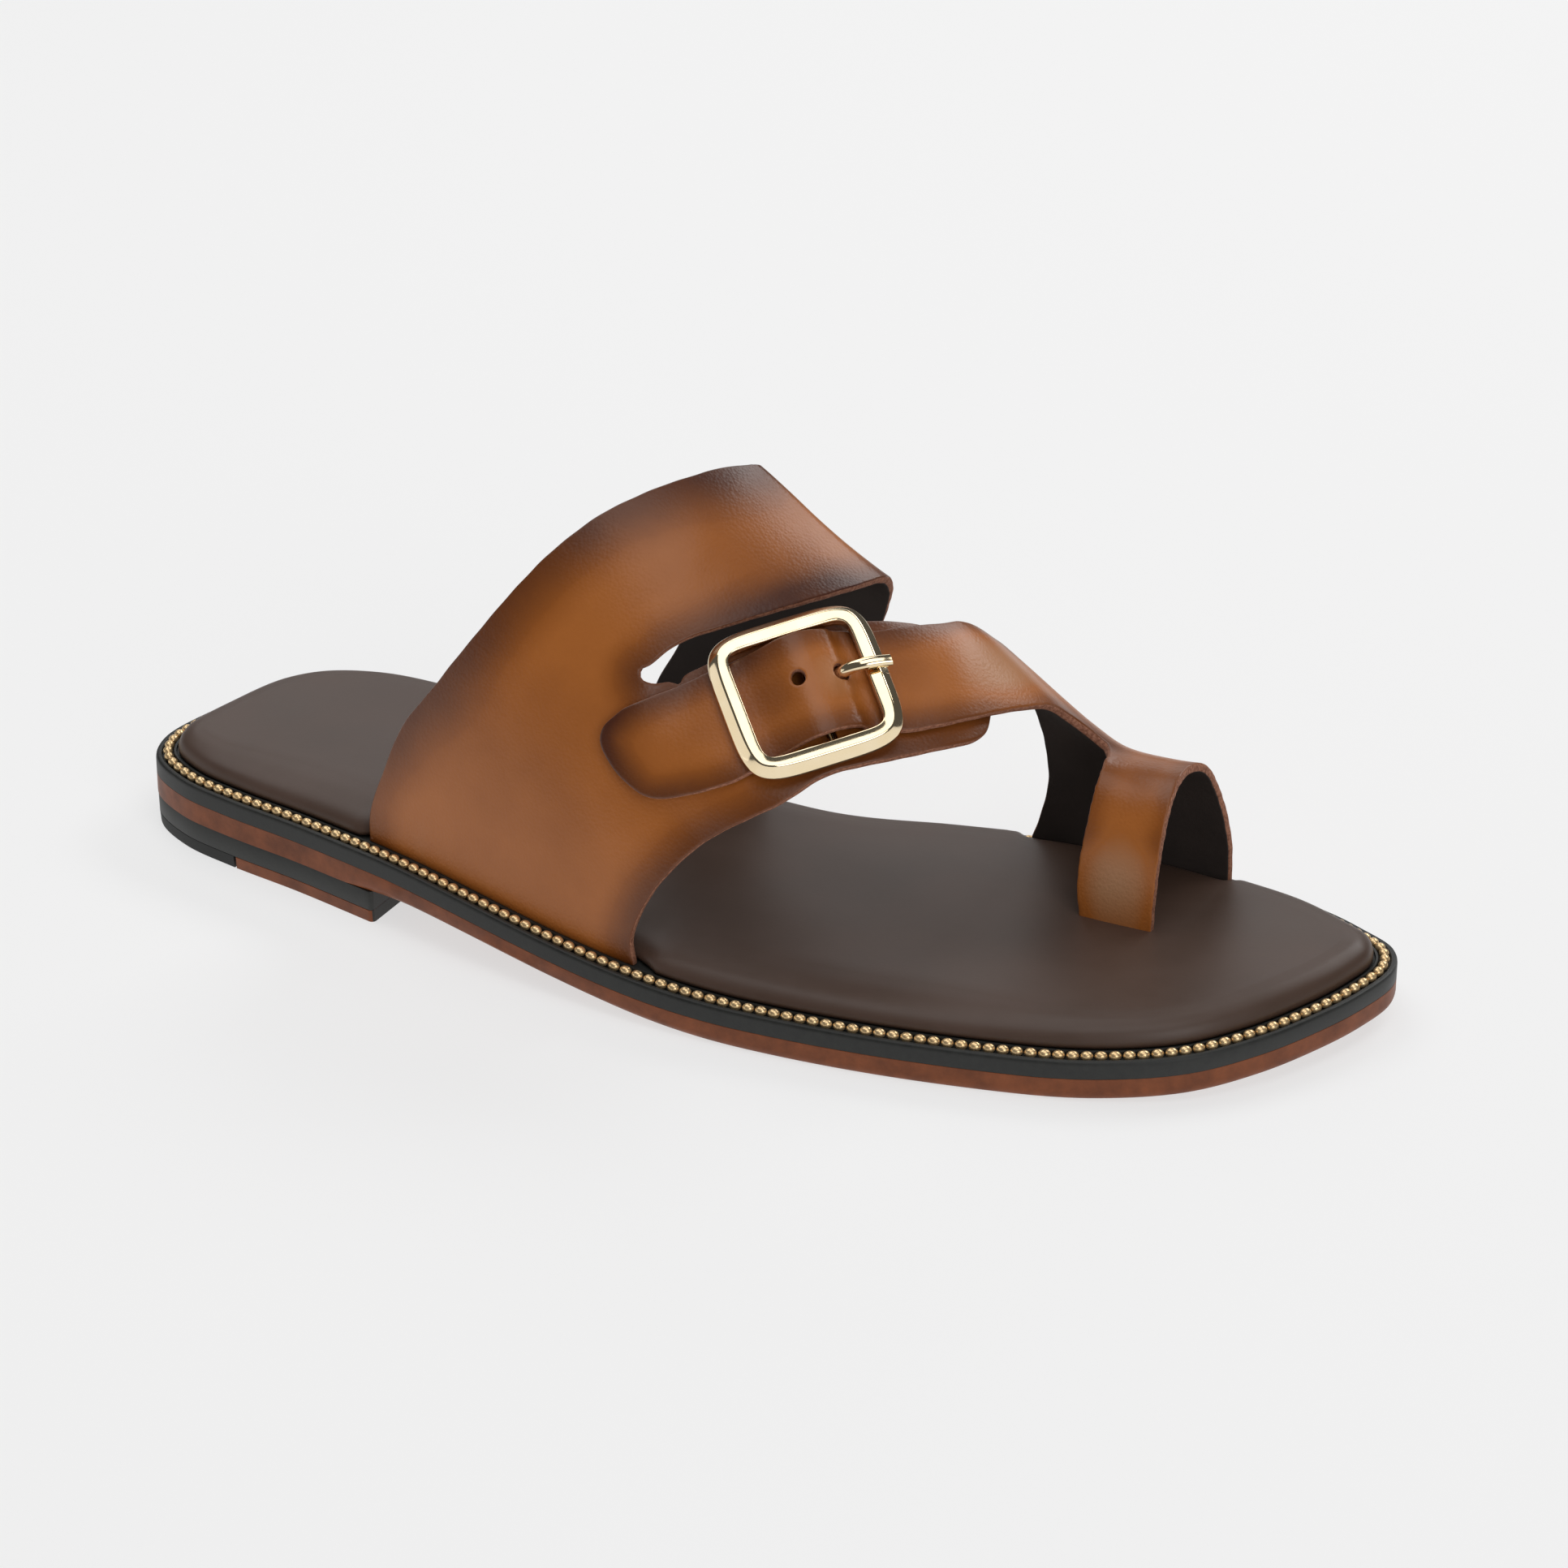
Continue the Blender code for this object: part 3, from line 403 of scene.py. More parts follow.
# painted welt: black edge ink over leather board, faint speckle
blackWelt = makeMottled(
    "black_inked_welt", ("#141513", "#232421"),
    cloudSize=2.2, grainSize=0.6, gloss=(0.42, 0.6), depth=0.1)
# leather outsole edge: reddish-brown stain, waxed, slightly streaked
soleLeather = makeMottled(
    "stained_sole_leather", ("#8a4922", "#683415"),
    cloudSize=6.0, grainSize=0.8, gloss=(0.38, 0.52), depth=0.1, Specular_IOR_Level=0.35)
# heel lift: black inked leather board
blackHeel = makeMottled(
    "black_heel_board", ("#191a18", "#272824"),
    cloudSize=2.5, grainSize=0.6, gloss=(0.45, 0.6), depth=0.1)
# rubber quarter at the back of the heel: dull, even black
heelRubber = makeMottled(
    "black_heel_rubber", ("#1a1b1a", "#232422"),
    cloudSize=3.0, grainSize=0.5, gloss=(0.6, 0.75), depth=0.1)
# padded insock leather: smooth dark brown, soft satin
footbedLeather = makeMottled(
    "dark_insock_leather", ("#4b382d", "#554137"),
    cloudSize=26.0, grainSize=0.9, gloss=(0.4, 0.5), depth=0.06)
# pale gold plate on cast zinc: mirror bright
goldPlate = makeMottled(
    "pale_gold_plate", ("#f8e6c4", "#f4dfb6"),
    cloudSize=8.0, grainSize=1.5, gloss=(0.06, 0.12), depth=0.01, Metallic=1.0)
# gold lacquered beads: bright, warmer than the buckle
goldBead = makeMottled(
    "gold_lacquer_bead", ("#f8d8a6", "#efca94"),
    cloudSize=3.0, grainSize=0.5, gloss=(0.24, 0.36), depth=0.03, Metallic=0.75)
print("materials made")


# sole, from the floor up

outsoleEdge = {
    "profile": (  # inset, share of the waist undercut, rise from the tread
        (1.3, 1.0, 0.0), (0.85, 0.85, 0.1), (0.5, 0.6, 0.4), (0.25, 0.4, 0.85), (0.08, 0.15, 1.4),
        (0.0, 0.0, 2.0), (0.0, 0.0, 5.0), (0.05, 0.0, 5.07),
    ),
}


def makeOutsole():
    depth, middle, reach = sole["waist"]
    start, run = sole["freeEdge"]
    free = ease((outline[:, 0] - start) / run)
    bevel = depth * np.exp(-((outline[:, 0] - middle) / reach) ** 2)
    rings = [overWelt(free * (inset + share * bevel), rise - sole["forefootHeight"])
             for inset, share, rise in outsoleEdge["profile"]]
    piece = stackedPiece("outsole_leather", rings, [soleLeather])
    joinFrame(piece, "outsole")


weltEdge = {
    "profile": (  # inset, rise from the welt top: side, lip, bead channel, inner strip
        (0.05, -4.1), (0.0, -4.03), (0.0, -1.0), (0.06, -0.55), (0.25, -0.2), (0.6, 0.0), (1.25, 0.0),
        (1.5, -0.25), (1.5, -0.9), (4.1, -0.9), (4.1, 0.25), (4.25, 0.5), (4.75, 0.5), (4.9, 0.3),
        (4.9, 0.0),
    ),
}


def makeWelt():
    rings = [overWelt(inset, rise) for inset, rise in weltEdge["profile"]]
    piece = stackedPiece("welt_black", rings, [blackWelt])
    joinFrame(piece, "midsole_welt")


beads = {
    "inset": 2.8,
    "rise": 0.12,
    "pitch": 3.0,
    "diameter": 2.3,
    "form": (1.22, 1.0, 0.95),  # a little long in the row
    "around": 12,
    "rings": 8,
}


def makeBeadTree():  # a bead at every pitch along a closed path
    tree = bpy.data.node_groups.new("bead_row", "GeometryNodeTree")
    tree.interface.new_socket("Path", in_out="INPUT", socket_type="NodeSocketGeometry")
    tree.interface.new_socket("Bead pitch", in_out="INPUT", socket_type="NodeSocketFloat")
    tree.interface.new_socket("Bead diameter", in_out="INPUT", socket_type="NodeSocketFloat")
    tree.interface.new_socket("Beads", in_out="OUTPUT", socket_type="NodeSocketGeometry")
    given = addNode(tree, "NodeGroupInput").outputs
    path = addNode(tree, "GeometryNodeMeshToCurve", {"Mesh": given["Path"]}).outputs["Curve"]
    spots = addNode(tree, "GeometryNodeResampleCurve", {
        "Curve": path, "Length": given["Bead pitch"]}, mode="LENGTH")
    radius = addNode(tree, "ShaderNodeMath", {
        0: given["Bead diameter"], 1: 0.5}, operation="MULTIPLY").outputs[0]
    ball = addNode(tree, "GeometryNodeMeshUVSphere", {
        "Segments": beads["around"], "Rings": beads["rings"], "Radius": radius})
    smooth = addNode(tree, "GeometryNodeSetShadeSmooth", {"Geometry": ball.outputs["Mesh"]})
    run = addNode(tree, "GeometryNodeInputTangent").outputs["Tangent"]
    turned = addNode(tree, "FunctionNodeAlignRotationToVector", {
        "Vector": run}, axis="X").outputs["Rotation"]
    row = addNode(tree, "GeometryNodeInstanceOnPoints", {
        "Points": spots.outputs["Curve"], "Instance": smooth.outputs["Geometry"], "Rotation": turned,
        "Scale": beads["form"]})
    real = addNode(tree, "GeometryNodeRealizeInstances", {"Geometry": row.outputs["Instances"]})
    gold = addNode(tree, "GeometryNodeSetMaterial", {
        "Geometry": real.outputs["Geometry"], "Material": goldBead})
    addNode(tree, "NodeGroupOutput", {"Beads": gold.outputs["Geometry"]})
    return tree


def makeBeads():
    path = placed(overWelt(beads["inset"], beads["rise"]))
    mesh = bpy.data.meshes.new("bead_path")
    mesh.from_pydata(path.tolist(), [(i, (i + 1) % len(path)) for i in range(len(path))], [])
    guide = bpy.data.objects.new("bead_path", mesh)
    bpy.context.scene.collection.objects.link(guide)
    tree = makeBeadTree()
    row = guide.modifiers.new("beads", "NODES")
    row.node_group = tree
    sizes = {"Bead pitch": beads["pitch"] * mm, "Bead diameter": beads["diameter"] * mm}
    for item in tree.interface.items_tree:
        if item.name in sizes:
            row[item.identifier] = sizes[item.name]
    done = guide.evaluated_get(bpy.context.evaluated_depsgraph_get())
    beadMesh = bpy.data.meshes.new_from_object(done)
    beadMesh.name = "bead_row_gold"
    bpy.data.objects.remove(guide)
    piece = bpy.data.objects.new("bead_row_gold", beadMesh)
    bpy.context.scene.collection.objects.link(piece)
    joinFrame(piece, "bead_row")
    print("beads:", len(beadMesh.polygons), "faces")


heel = {
    "breast": 73.0,
    "corner": 1.2,
    "split": 31.5,  # rubber behind it, leather in front of it
    "stations": 60,
    "cornerSteps": 8,
    "liftProfile": ((0.25, 3.17), (0.2, 3.24), (0.1, 7.88), (0.15, 7.96)),  # inset, height
    "topProfile": ((0.75, 0.0), (0.48, 0.12), (0.4, 0.4), (0.2, 3.04), (0.25, 3.1)),
    "blackBreastFacing": 0.7,  # faces that look forward more than this are the breast, given the black heel board
}


def heelRing(inset, back, front, rounded):
    lateral, medial = soleSides(inset)
    corner = heel["corner"] if rounded else 0.0
    if back is None:
        steps = (np.arange(heel["stations"]) + 0.5) / heel["stations"]
        along = lateral[0, 0] + (front - corner - lateral[0, 0]) * (1.0 - np.cos(0.5 * np.pi * steps))
    else:
        along = np.linspace(back, front - corner, heel["stations"] // 2)
    narrowing = np.zeros(len(along))
    if rounded:
        turn = np.linspace(0.0, 0.5 * np.pi, heel["cornerSteps"])[1:]
        along = np.concatenate([along, front - corner + corner * np.sin(turn)])
        narrowing = np.concatenate([narrowing, corner - corner * np.cos(turn)])
    low = np.column_stack([along, sideAt(lateral, along) + narrowing])
    high = np.column_stack([along, sideAt(medial, along) - narrowing])
    return loopOf(low, high)


def makeHeel():
    layers = (
        ("heel_lift_black", "heel_lift", "black_heel", blackHeel, "liftProfile",
         None, heel["breast"], True),
        ("heel_rubber_rear", "heel_top_piece_rear", "black_rubber", heelRubber, "topProfile",
         None, heel["split"], False),
        ("heel_leather_front", "heel_top_piece_front", "brown_top_piece", soleLeather, "topProfile",
         heel["split"] + sole["seatGap"], heel["breast"], True),
    )
    for name, node, slot, material, profile, back, front, rounded in layers:
        rings = [atHeight(heelRing(inset, back, front, rounded), height)
                 for inset, height in heel[profile]]
        piece = stackedPiece(name, rings, [material, blackHeel])
        for face in piece.data.polygons:
            face.material_index = int(face.normal.x > heel["blackBreastFacing"])
        joinFrame(piece, node)


pad = {
    "inset": 5.3,
    "legInset": 8.0,  # beside the leather's legs
    "legs": ((-1, 69.3, 143.7), (1, 103.0, 135.0), (1, 194.3, 243.0)),  # side, from, to
    "legMargin": 1.0,
    "legBlend": 4.0,
    "profile": ((0.0, 0.2), (0.0, 1.2), (0.45, 2.6), (1.5, 4.1), (3.3, 5.15), (6.5, 5.7)),  # inward, rise
    "profileSpacing": 0.55,
    "slope": (2.0, 45.0, 205.0, 55.0),  # the round is this much wider on the lateral side: from, to, run
    "slopeFacing": (0.15, 0.6),  # less where the edge faces the heel or the toe: start, run
    "toeGain": (0.14, 242.0, 22.0),  # thicker at the medial toe: gain, start, run
    "toeGainAcross": (-30.0, 70.0),  # start, run
    "centreLift": 0.2,
    "crownRows": 12,
    "crownRun": 25.0,
    "swell": 0.42,  # mm of slow unevenness in the padding
    "swellFrom": (3.0, 2.5),  # height over the welt at which it begins, run
    "dimples": (13.0, 11.0, 0.5),  # length along, length across, phase
    "wander": (0.7, 9.0),  # of the dimples: reach, length across
    "sag": (0.6, 29.0, 17.0),  # longer wave: share, length along, length across
    "fill": 0.75,
}


def padEdge():
    beside = np.zeros(len(outline))
    for side, start, end in pad["legs"]:
        beyond = np.maximum(start - outline[:, 0], outline[:, 0] - end) - pad["legMargin"]
        near = np.where(outline[:, 1] * side > 0.0, 1.0 - ease(beyond / pad["legBlend"]), 0.0)
        beside = np.maximum(beside, near)
    return pad["inset"] + (pad["legInset"] - pad["inset"]) * beside


def padRound():
    edge = np.roll(outline, -1, axis=0) - np.roll(outline, 1, axis=0)
    facing = np.abs(edge[:, 0]) / np.linalg.norm(edge, axis=1) * np.sign(outline[:, 1])
    slope, start, end, run = pad["slope"]
    turned, turnRun = pad["slopeFacing"]
    middle = ease(outline[:, 0] / start) * (1.0 - ease((outline[:, 0] - end) / run))
    return 1.0 + (slope - 1.0) * ease((turned - facing) / turnRun) * middle


def padRing(inset, up):
    loop = soleRing(inset)
    gain, start, run = pad["toeGain"]
    side, blend = pad["toeGainAcross"]
    height = 1.0 + gain * ease((loop[:, 0] - start) / run) * ease((loop[:, 1] - side) / blend)
    return atHeight(loop, weltTop(loop[:, 0]) + sole["seatGap"] + up * height)


def padSwell(points):  # on the upper side of the pad alone
    x, y, z = points.T
    length, width, phase = pad["dimples"]
    reach, wanderWidth = pad["wander"]
    share, sagLength, sagWidth = pad["sag"]
    start, run = pad["swellFrom"]
    dimples = np.sin(x / length + reach * np.sin(y / wanderWidth)) * np.sin(y / width + phase)
    wave = dimples + share * np.sin(x / sagLength + y / sagWidth)
    return pad["swell"] * (wave - 1.0) * 0.5 * ease((z - weltTop(x) - start) / run)


def makeFootbed():
    edge = padEdge()
    width = padRound()
    roll = evenPoints(curveThrough(pad["profile"]), pad["profileSpacing"])
    rings = [padRing(edge + width * inward, up) for inward, up in roll]
    count = len(rings[0])
    half = count // 2
    last = rings[-1]
    spine = 0.5 * (last[:half] + last[half:][::-1])
    ends = np.minimum(spine[:, 0] - spine[0, 0], spine[-1, 0] - spine[:, 0])
    lift = pad["centreLift"] * ease(ends / pad["crownRun"])
    centre = np.vstack([spine, spine[::-1]])
    for step in range(1, pad["crownRows"]):
        share = step / pad["crownRows"]
        row = last + (centre - last) * share
        row[:, 2] += np.concatenate([lift, lift[::-1]]) * (1.0 - (1.0 - share) ** 2)
        rings.append(row)
    top = len(rings) * count
    spine[:, 2] += lift
    points = np.vstack(rings + [spine])
    faces = stackFaces(count, len(rings))
    low = top - count
    for i in range(half - 1):
        faces.append((i, count - 1 - i, count - 2 - i, i + 1))
        faces.append((low + i, low + i + 1, top + i + 1, top + i))
        faces.append((top + i, top + i + 1, low + count - 2 - i, low + count - 1 - i))
    faces.append((low + count - 1, low, top))
    faces.append((low + half - 1, low + half, top + half - 1))
    points[:, 2] += padSwell(points)
    piece = addPiece("footbed_padded", points, faces, [footbedLeather])
    joinFrame(piece, "footbed")


makeOutsole()
makeWelt()
makeBeads()
makeHeel()
makeFootbed()
print("sole, beads, heel and footbed made")


# the last that the leather is drawn over

lastShape = {
    "wallInset": 7.5,
    "wall": 2.0,  # leather thickness
    "padCrown": 5.4,  # the toe loop is let into the pad a little
    "fullness": (2.0, 2.6, 2.3),  # lateral, medial, toe loop
    "toeLegAcross": 14.0,
    "toeBlend": (211.0, 220.0),
    "ridge": (  # along, across, height
        (60.0, 20.0, 128.0), (100.0, 20.0, 116.0), (120.0, 20.3, 107.0), (127.0, 20.6, 103.8),
        (135.0, 21.2, 99.6), (142.0, 21.9, 94.5), (150.0, 22.0, 88.6), (160.0, 21.0, 82.6),
        (170.0, 20.0, 77.4), (183.0, 20.0, 72.2), (190.0, 20.0, 68.8), (197.0, 20.4, 63.3),
        (205.0, 21.2, 56.6), (212.0, 22.6, 51.0), (220.0, 25.0, 46.0), (232.0, 29.5, 44.2),
        (246.0, 31.5, 45.5),
    ),
    "girth": 95.0,  # pattern millimetres from the welt to the ridge
    "probe": (0.3, 0.004),  # steps along and in girth that give the way out of the last
}
wallSides = soleSides(lastShape["wallInset"])
ridgeRows = curveThrough(lastShape["ridge"])


def bareLast(along, girth):  # girth is 0 at the lateral welt, 1 on the ridge, 2 at the medial welt
    back, front = lastShape["toeBlend"]
    lateralFull, medialFull, toeFull = lastShape["fullness"]
    toToe = ease((along - back) / (front - back))
    weltLateral = sideAt(wallSides[0], along)
    weltMedial = sideAt(wallSides[1], along)
    ridgeAcross = np.interp(along, ridgeRows[:, 0], ridgeRows[:, 1])
    ridgeHeight = np.interp(along, ridgeRows[:, 0], ridgeRows[:, 2])
    ground = weltTop(along) + sole["seatGap"]
    onLateral = girth <= 1.0
    legLateral = weltLateral + (lastShape["toeLegAcross"] - weltLateral) * toToe
    foot = np.where(onLateral, legLateral, weltMedial)
    floor = np.where(onLateral, ground + lastShape["padCrown"] * toToe, ground)
    power = 2.0 / np.where(onLateral, lateralFull + (toeFull - lateralFull) * toToe, medialFull)
    turn = np.clip(np.where(onLateral, girth, 2.0 - girth), 0.0, 1.0) * 0.5 * np.pi
    across = ridgeAcross + (foot - ridgeAcross) * np.cos(turn) ** power
    height = floor + (ridgeHeight - floor) * np.sin(turn) ** power
    return np.column_stack([along, across, height])


def surfaceNormal(surface, along, girth):
    step, turn = lastShape["probe"]
    inner = np.clip(girth, turn, 2.0 - turn)
    forward = surface(along + step, inner) - surface(along - step, inner)
    upward = surface(along, inner + turn) - surface(along, inner - turn)
    normal = np.cross(forward, upward)
    return normal / np.linalg.norm(normal, axis=1)[:, None]


buckle = {
    "middle": (168.4, 0.633),
    "lead": (176.5, 0.726),
    "length": 37.4,
    "width": 36.2,
    "lift": 3.6,
    "press": (0.0063, 22.0, 38.0),  # bend of the pressed seat, full to, gone by
    "pressLine": (142.7, 0.55, 0.01383, 0.03),  # it stops at the slot: along, girth, slope, blend
    "bar": (1.9, 1.25, 3.8),  # centre bar: along, radius, height
    "barSides": 16,
    "section": (  # outward from the bar's middle, up, rounding: inner wall, flat face, outer bevel, back
        (-2.25, 0.2, 0.4), (-2.25, 3.0, 0.4), (0.45, 3.35, 0.45), (2.5, 1.15, 0.4), (2.55, 0.5, 0.25),
        (1.6, 0.0, 0.4), (-1.3, 0.0, 0.4),
    ),
    "round": (10.0, 4.6),  # how square the window and the outer edge are
    "sideSteps": 26,
    "roundSteps": 4,
    "notch": (0.1, 1.8, 0.25, 0.6),  # the prong's seat in the front bar: across, half width, slope, depth
    "notchRise": (1.0, 1.5),  # height in the section at which it begins, run
    "sharp": 55.0,
}


def buckleAxes():
    spots = np.array([buckle["middle"], buckle["lead"]])
    start, lead = bareLast(spots[:, 0], spots[:, 1])
    up = surfaceNormal(bareLast, spots[:1, 0], spots[:1, 1])[0]
    forward = lead - start
    forward -= up * (forward @ up)
    forward /= np.linalg.norm(forward)
    return start, forward, np.cross(up, forward), up


axes = buckleAxes()


def onBuckle(along, across, height):
    middle, forward, sideways, up = axes
    return middle + np.outer(along, forward) + np.outer(across, sideways) + np.outer(height, up)


def lastPoint(along, girth):  # the buckle presses a nearly flat seat into the leather
    bend, full, gone = buckle["press"]
    points = bareLast(along, girth)
    middle, forward, _, up = axes
    offset = points - middle
    share = 1.0 - ease((np.linalg.norm(offset, axis=1) - full) / (gone - full))
    start, level, slope, blend = buckle["pressLine"]
    share *= 1.0 - ease(0.5 + 0.5 * (girth - level - slope * (along - start)) / blend)
    return points + np.outer(share * (-bend * (offset @ forward) ** 2 - offset @ up), up)


# leather sheets

grainSide, cutSide, liningSide = 0, 1, 2  # material slots of a leather piece

sheetMesh = {
    "spacing": 1.15,
    "edgeSpacing": 0.8,
    "edge": (  # outward from the face, share of the wall left, slot
        (0.22, 0.975, grainSide), (0.40, 0.90, grainSide), (0.5, 0.77, cutSide), (0.52, 0.5, cutSide),
        (0.48, 0.2, cutSide), (0.36, 0.06, cutSide), (0.18, 0.0, liningSide),
    ),
    "round": 0.5,
    "support": 0.9,  # last row of the even face, in from the cut
    "baseRise": 0.35,  # and up from the sole
    "clear": 0.6,  # no point of the face closer to that row, in edge spacings
    "weld": 1e-6,
    "probe": 0.2,  # pattern step that gives the ways along and up the leather
    "waver": 0.035,  # hand cutting
    "waverLengths": (2.3, 1.1),
}


def patternCurve(points):
    flat = np.array(points, float) * (1.0, lastShape["girth"])
    return evenPoints(curveThrough(flat), sheetMesh["edgeSpacing"])


def inside(loop, points):
    x, y = points[:, 0], points[:, 1]
    found = np.zeros(len(points), bool)
    for (ax, ay), (bx, by) in zip(loop, np.roll(loop, -1, 0)):
        if ay != by:
            found ^= ((ay > y) != (by > y)) & (x < (bx - ax) * (y - ay) / (by - ay) + ax)
    return found


def nearest(points, targets):
    tree = KDTree(len(targets))
    for i, target in enumerate(targets):
        tree.insert(target, i)
    tree.balance()
    return np.array([tree.find(p)[2] for p in points])


def onSheet(flat, lift, up):  # pattern point to shoe millimetres, up from the last; and the way out
    along = flat[:, 0]
    girth = np.clip(flat[:, 1] / lastShape["girth"], 0.0, 2.0)
    base = lastPoint(along, girth)
    normal = surfaceNormal(lastPoint, along, girth)
    return base + normal * (lift(base, girth) + up)[:, None], normal


def edgeFrame(flat, lift):  # a loop with leather on its left: the way out, and its pattern step
    wall = lastShape["wall"]
    points, normal = onSheet(flat, lift, wall)
    run = np.roll(points, -1, 0) - np.roll(points, 1, 0)
    out = np.cross(run, normal)
    out /= np.linalg.norm(out, axis=1)[:, None]
    step = sheetMesh["probe"]
    side = (onSheet(flat + (step, 0.0), lift, wall)[0] - points) / step
    lifted = np.where(flat[:, 1] > lastShape["girth"], -step, step)
    above = flat + np.column_stack([np.zeros(len(flat)), lifted])
    upward = (onSheet(above, lift, wall)[0] - points) / lifted[:, None]
    aa, ab, bb = (side * side).sum(1), (side * upward).sum(1), (upward * upward).sum(1)
    pa, pb = (side * out).sum(1), (upward * out).sum(1)
    det = aa * bb - ab * ab
    return out, np.column_stack([(pa * bb - pb * ab) / det, (pb * aa - pa * ab) / det])


def inwards(loop, slide, reach, base):  # a loop moved in from the cut, level where it stands on the sole
    moved = loop - slide * np.broadcast_to(reach, len(loop))[:, None]
    top = 2 * lastShape["girth"]
    moved[:, 1] = np.where(loop[:, 1] <= 0.0, base, np.where(loop[:, 1] >= top, top - base, moved[:, 1]))
    return moved


def sheetRims(loops, lift):  # for each loop: start of the rounded edge, last row of the face, way out
    rims = []
    insets = []
    ways = []
    first, second = sheetMesh["waverLengths"]
    for i, loop in enumerate(loops):
        out, slide = edgeFrame(loop, lift)
        run = np.arange(len(loop)) * sheetMesh["edgeSpacing"]
        waver = sheetMesh["waver"] * (np.sin(run / first) + np.sin(run / second + 1.0))
        waver *= i == 0  # the holes are punched, not cut by hand
        rims.append(inwards(loop, slide, sheetMesh["round"] + waver, 0.0))
        insets.append(inwards(loop, slide, sheetMesh["support"] + waver, sheetMesh["baseRise"]))
        ways.append(out)
    return rims, insets, ways


def onPattern(insets, points):
    found = inside(insets[0], points)
    for hole in insets[1:]:
        found &= ~inside(hole, points)
    return found


def sheetFace(insets):  # points and cells of the face, and where each point of its rim went
    low, high = insets[0].min(axis=0), insets[0].max(axis=0)
    columns = np.arange(low[0], high[0], sheetMesh["spacing"])
    rows = np.arange(low[1], high[1], sheetMesh["spacing"])
    grid = np.stack(np.meshgrid(columns, rows), axis=-1).reshape(-1, 2)
    grid = grid[onPattern(insets, grid)]
    gap = nearest(atHeight(grid, 0.0), atHeight(np.vstack(insets), 0.0))
    grid = grid[gap > sheetMesh["clear"] * sheetMesh["edgeSpacing"]]
    lines = []
    for loop in insets:
        start = len(lines)
        lines += [(start + i, start + (i + 1) % len(loop)) for i in range(len(loop))]
    spots = [Vector(p) for p in np.vstack(insets + [grid])]
    corners, _, cells, origins, _, _ = delaunay_2d_cdt(spots, lines, [], 1, sheetMesh["weld"])
    flat = np.array([tuple(p) for p in corners])
    middles = np.array([flat[list(cell)].mean(axis=0) for cell in cells])
    cells = [tuple(cell) for cell, good in zip(cells, onPattern(insets, middles)) if good]
    where = {source: i for i, came in enumerate(origins) for source in came}
    return flat, cells, where


def bridge(first, second):  # faces between two closed rows of points
    count = len(first)
    return [(first[i], second[i], second[(i + 1) % count], first[(i + 1) % count]) for i in range(count)]


def closeCorners(piece):  # the tiny triangles left open where a leg's cut turns under
    form = bmesh.new()
    form.from_mesh(piece.data)
    openEdges = [edge for edge in form.edges if edge.is_boundary]
    filled = bmesh.ops.holes_fill(form, edges=openEdges, sides=4)
    for face in filled["faces"]:
        face.smooth = True
    form.to_mesh(piece.data)
    form.free()


def burnishAndSheenValues(points, edges, lift, marks):  # 1 is darkest, below 0 is a pale painted sheen
    wall = lastShape["wall"]
    burnishAndSheen = np.zeros(len(points))
    for edge, (width, strength) in marks["edges"].items():
        line, _ = onSheet(edges[edge], lift, wall)
        burnishAndSheen = np.maximum(burnishAndSheen, strength * (1.0 - ease(nearest(points, line) / width)))
    for along, girth, radius, amount in marks["spots"]:
        centre, _ = onSheet(np.array([[along, girth * lastShape["girth"]]]), lift, wall)
        reach = np.linalg.norm(points - centre, axis=1) / radius
        burnishAndSheen += amount * np.exp(-reach ** 2)
    return np.clip(burnishAndSheen, -1.0, 1.0)


def cutSheet(name, edges, holes, lift, marks):
    loops = [np.vstack([edge[:-1] for edge in edges.values()])[::-1]] + [hole[::-1] for hole in holes]
    rims, insets, ways = sheetRims(loops, lift)
    flat, cells, where = sheetFace(insets)
    count = len(flat)
    wall = lastShape["wall"]
    points = [onSheet(flat, lift, wall)[0], onSheet(flat, lift, 0.0)[0]]
    faces = cells + [tuple(count + i for i in cell[::-1]) for cell in cells]
    slots = [grainSide] * len(cells) + [liningSide] * len(cells)
    used = 2 * count
    start = 0
    for rim, out in zip(rims, ways):
        size = len(rim)
        faceRow = [where[start + i] for i in range(size)]
        start += size
        crest, _ = onSheet(rim, lift, wall)
        floor, _ = onSheet(rim, lift, 0.0)
        rows = [(crest, grainSide)]
        for outward, share, slot in sheetMesh["edge"]:
            rows.append((floor + (crest - floor) * share + out * outward, slot))
        rows.append((floor, liningSide))
        previous = faceRow
        for row, slot in rows:
            points.append(row)
            current = list(range(used, used + size))
            used += size
            faces += bridge(previous, current)
            slots += [slot] * size
            previous = current
        faces += bridge(previous, [count + i for i in faceRow])
        slots += [liningSide] * size
    points = np.vstack(points)
    piece = addPiece(name, points, faces, [calf, rawEdge, lining], slots)
    closeCorners(piece)
    addValues(piece, "burnishAndSheen", burnishAndSheenValues(points, edges, lift, marks))
    print(name, len(piece.data.polygons), "faces")
    return piece


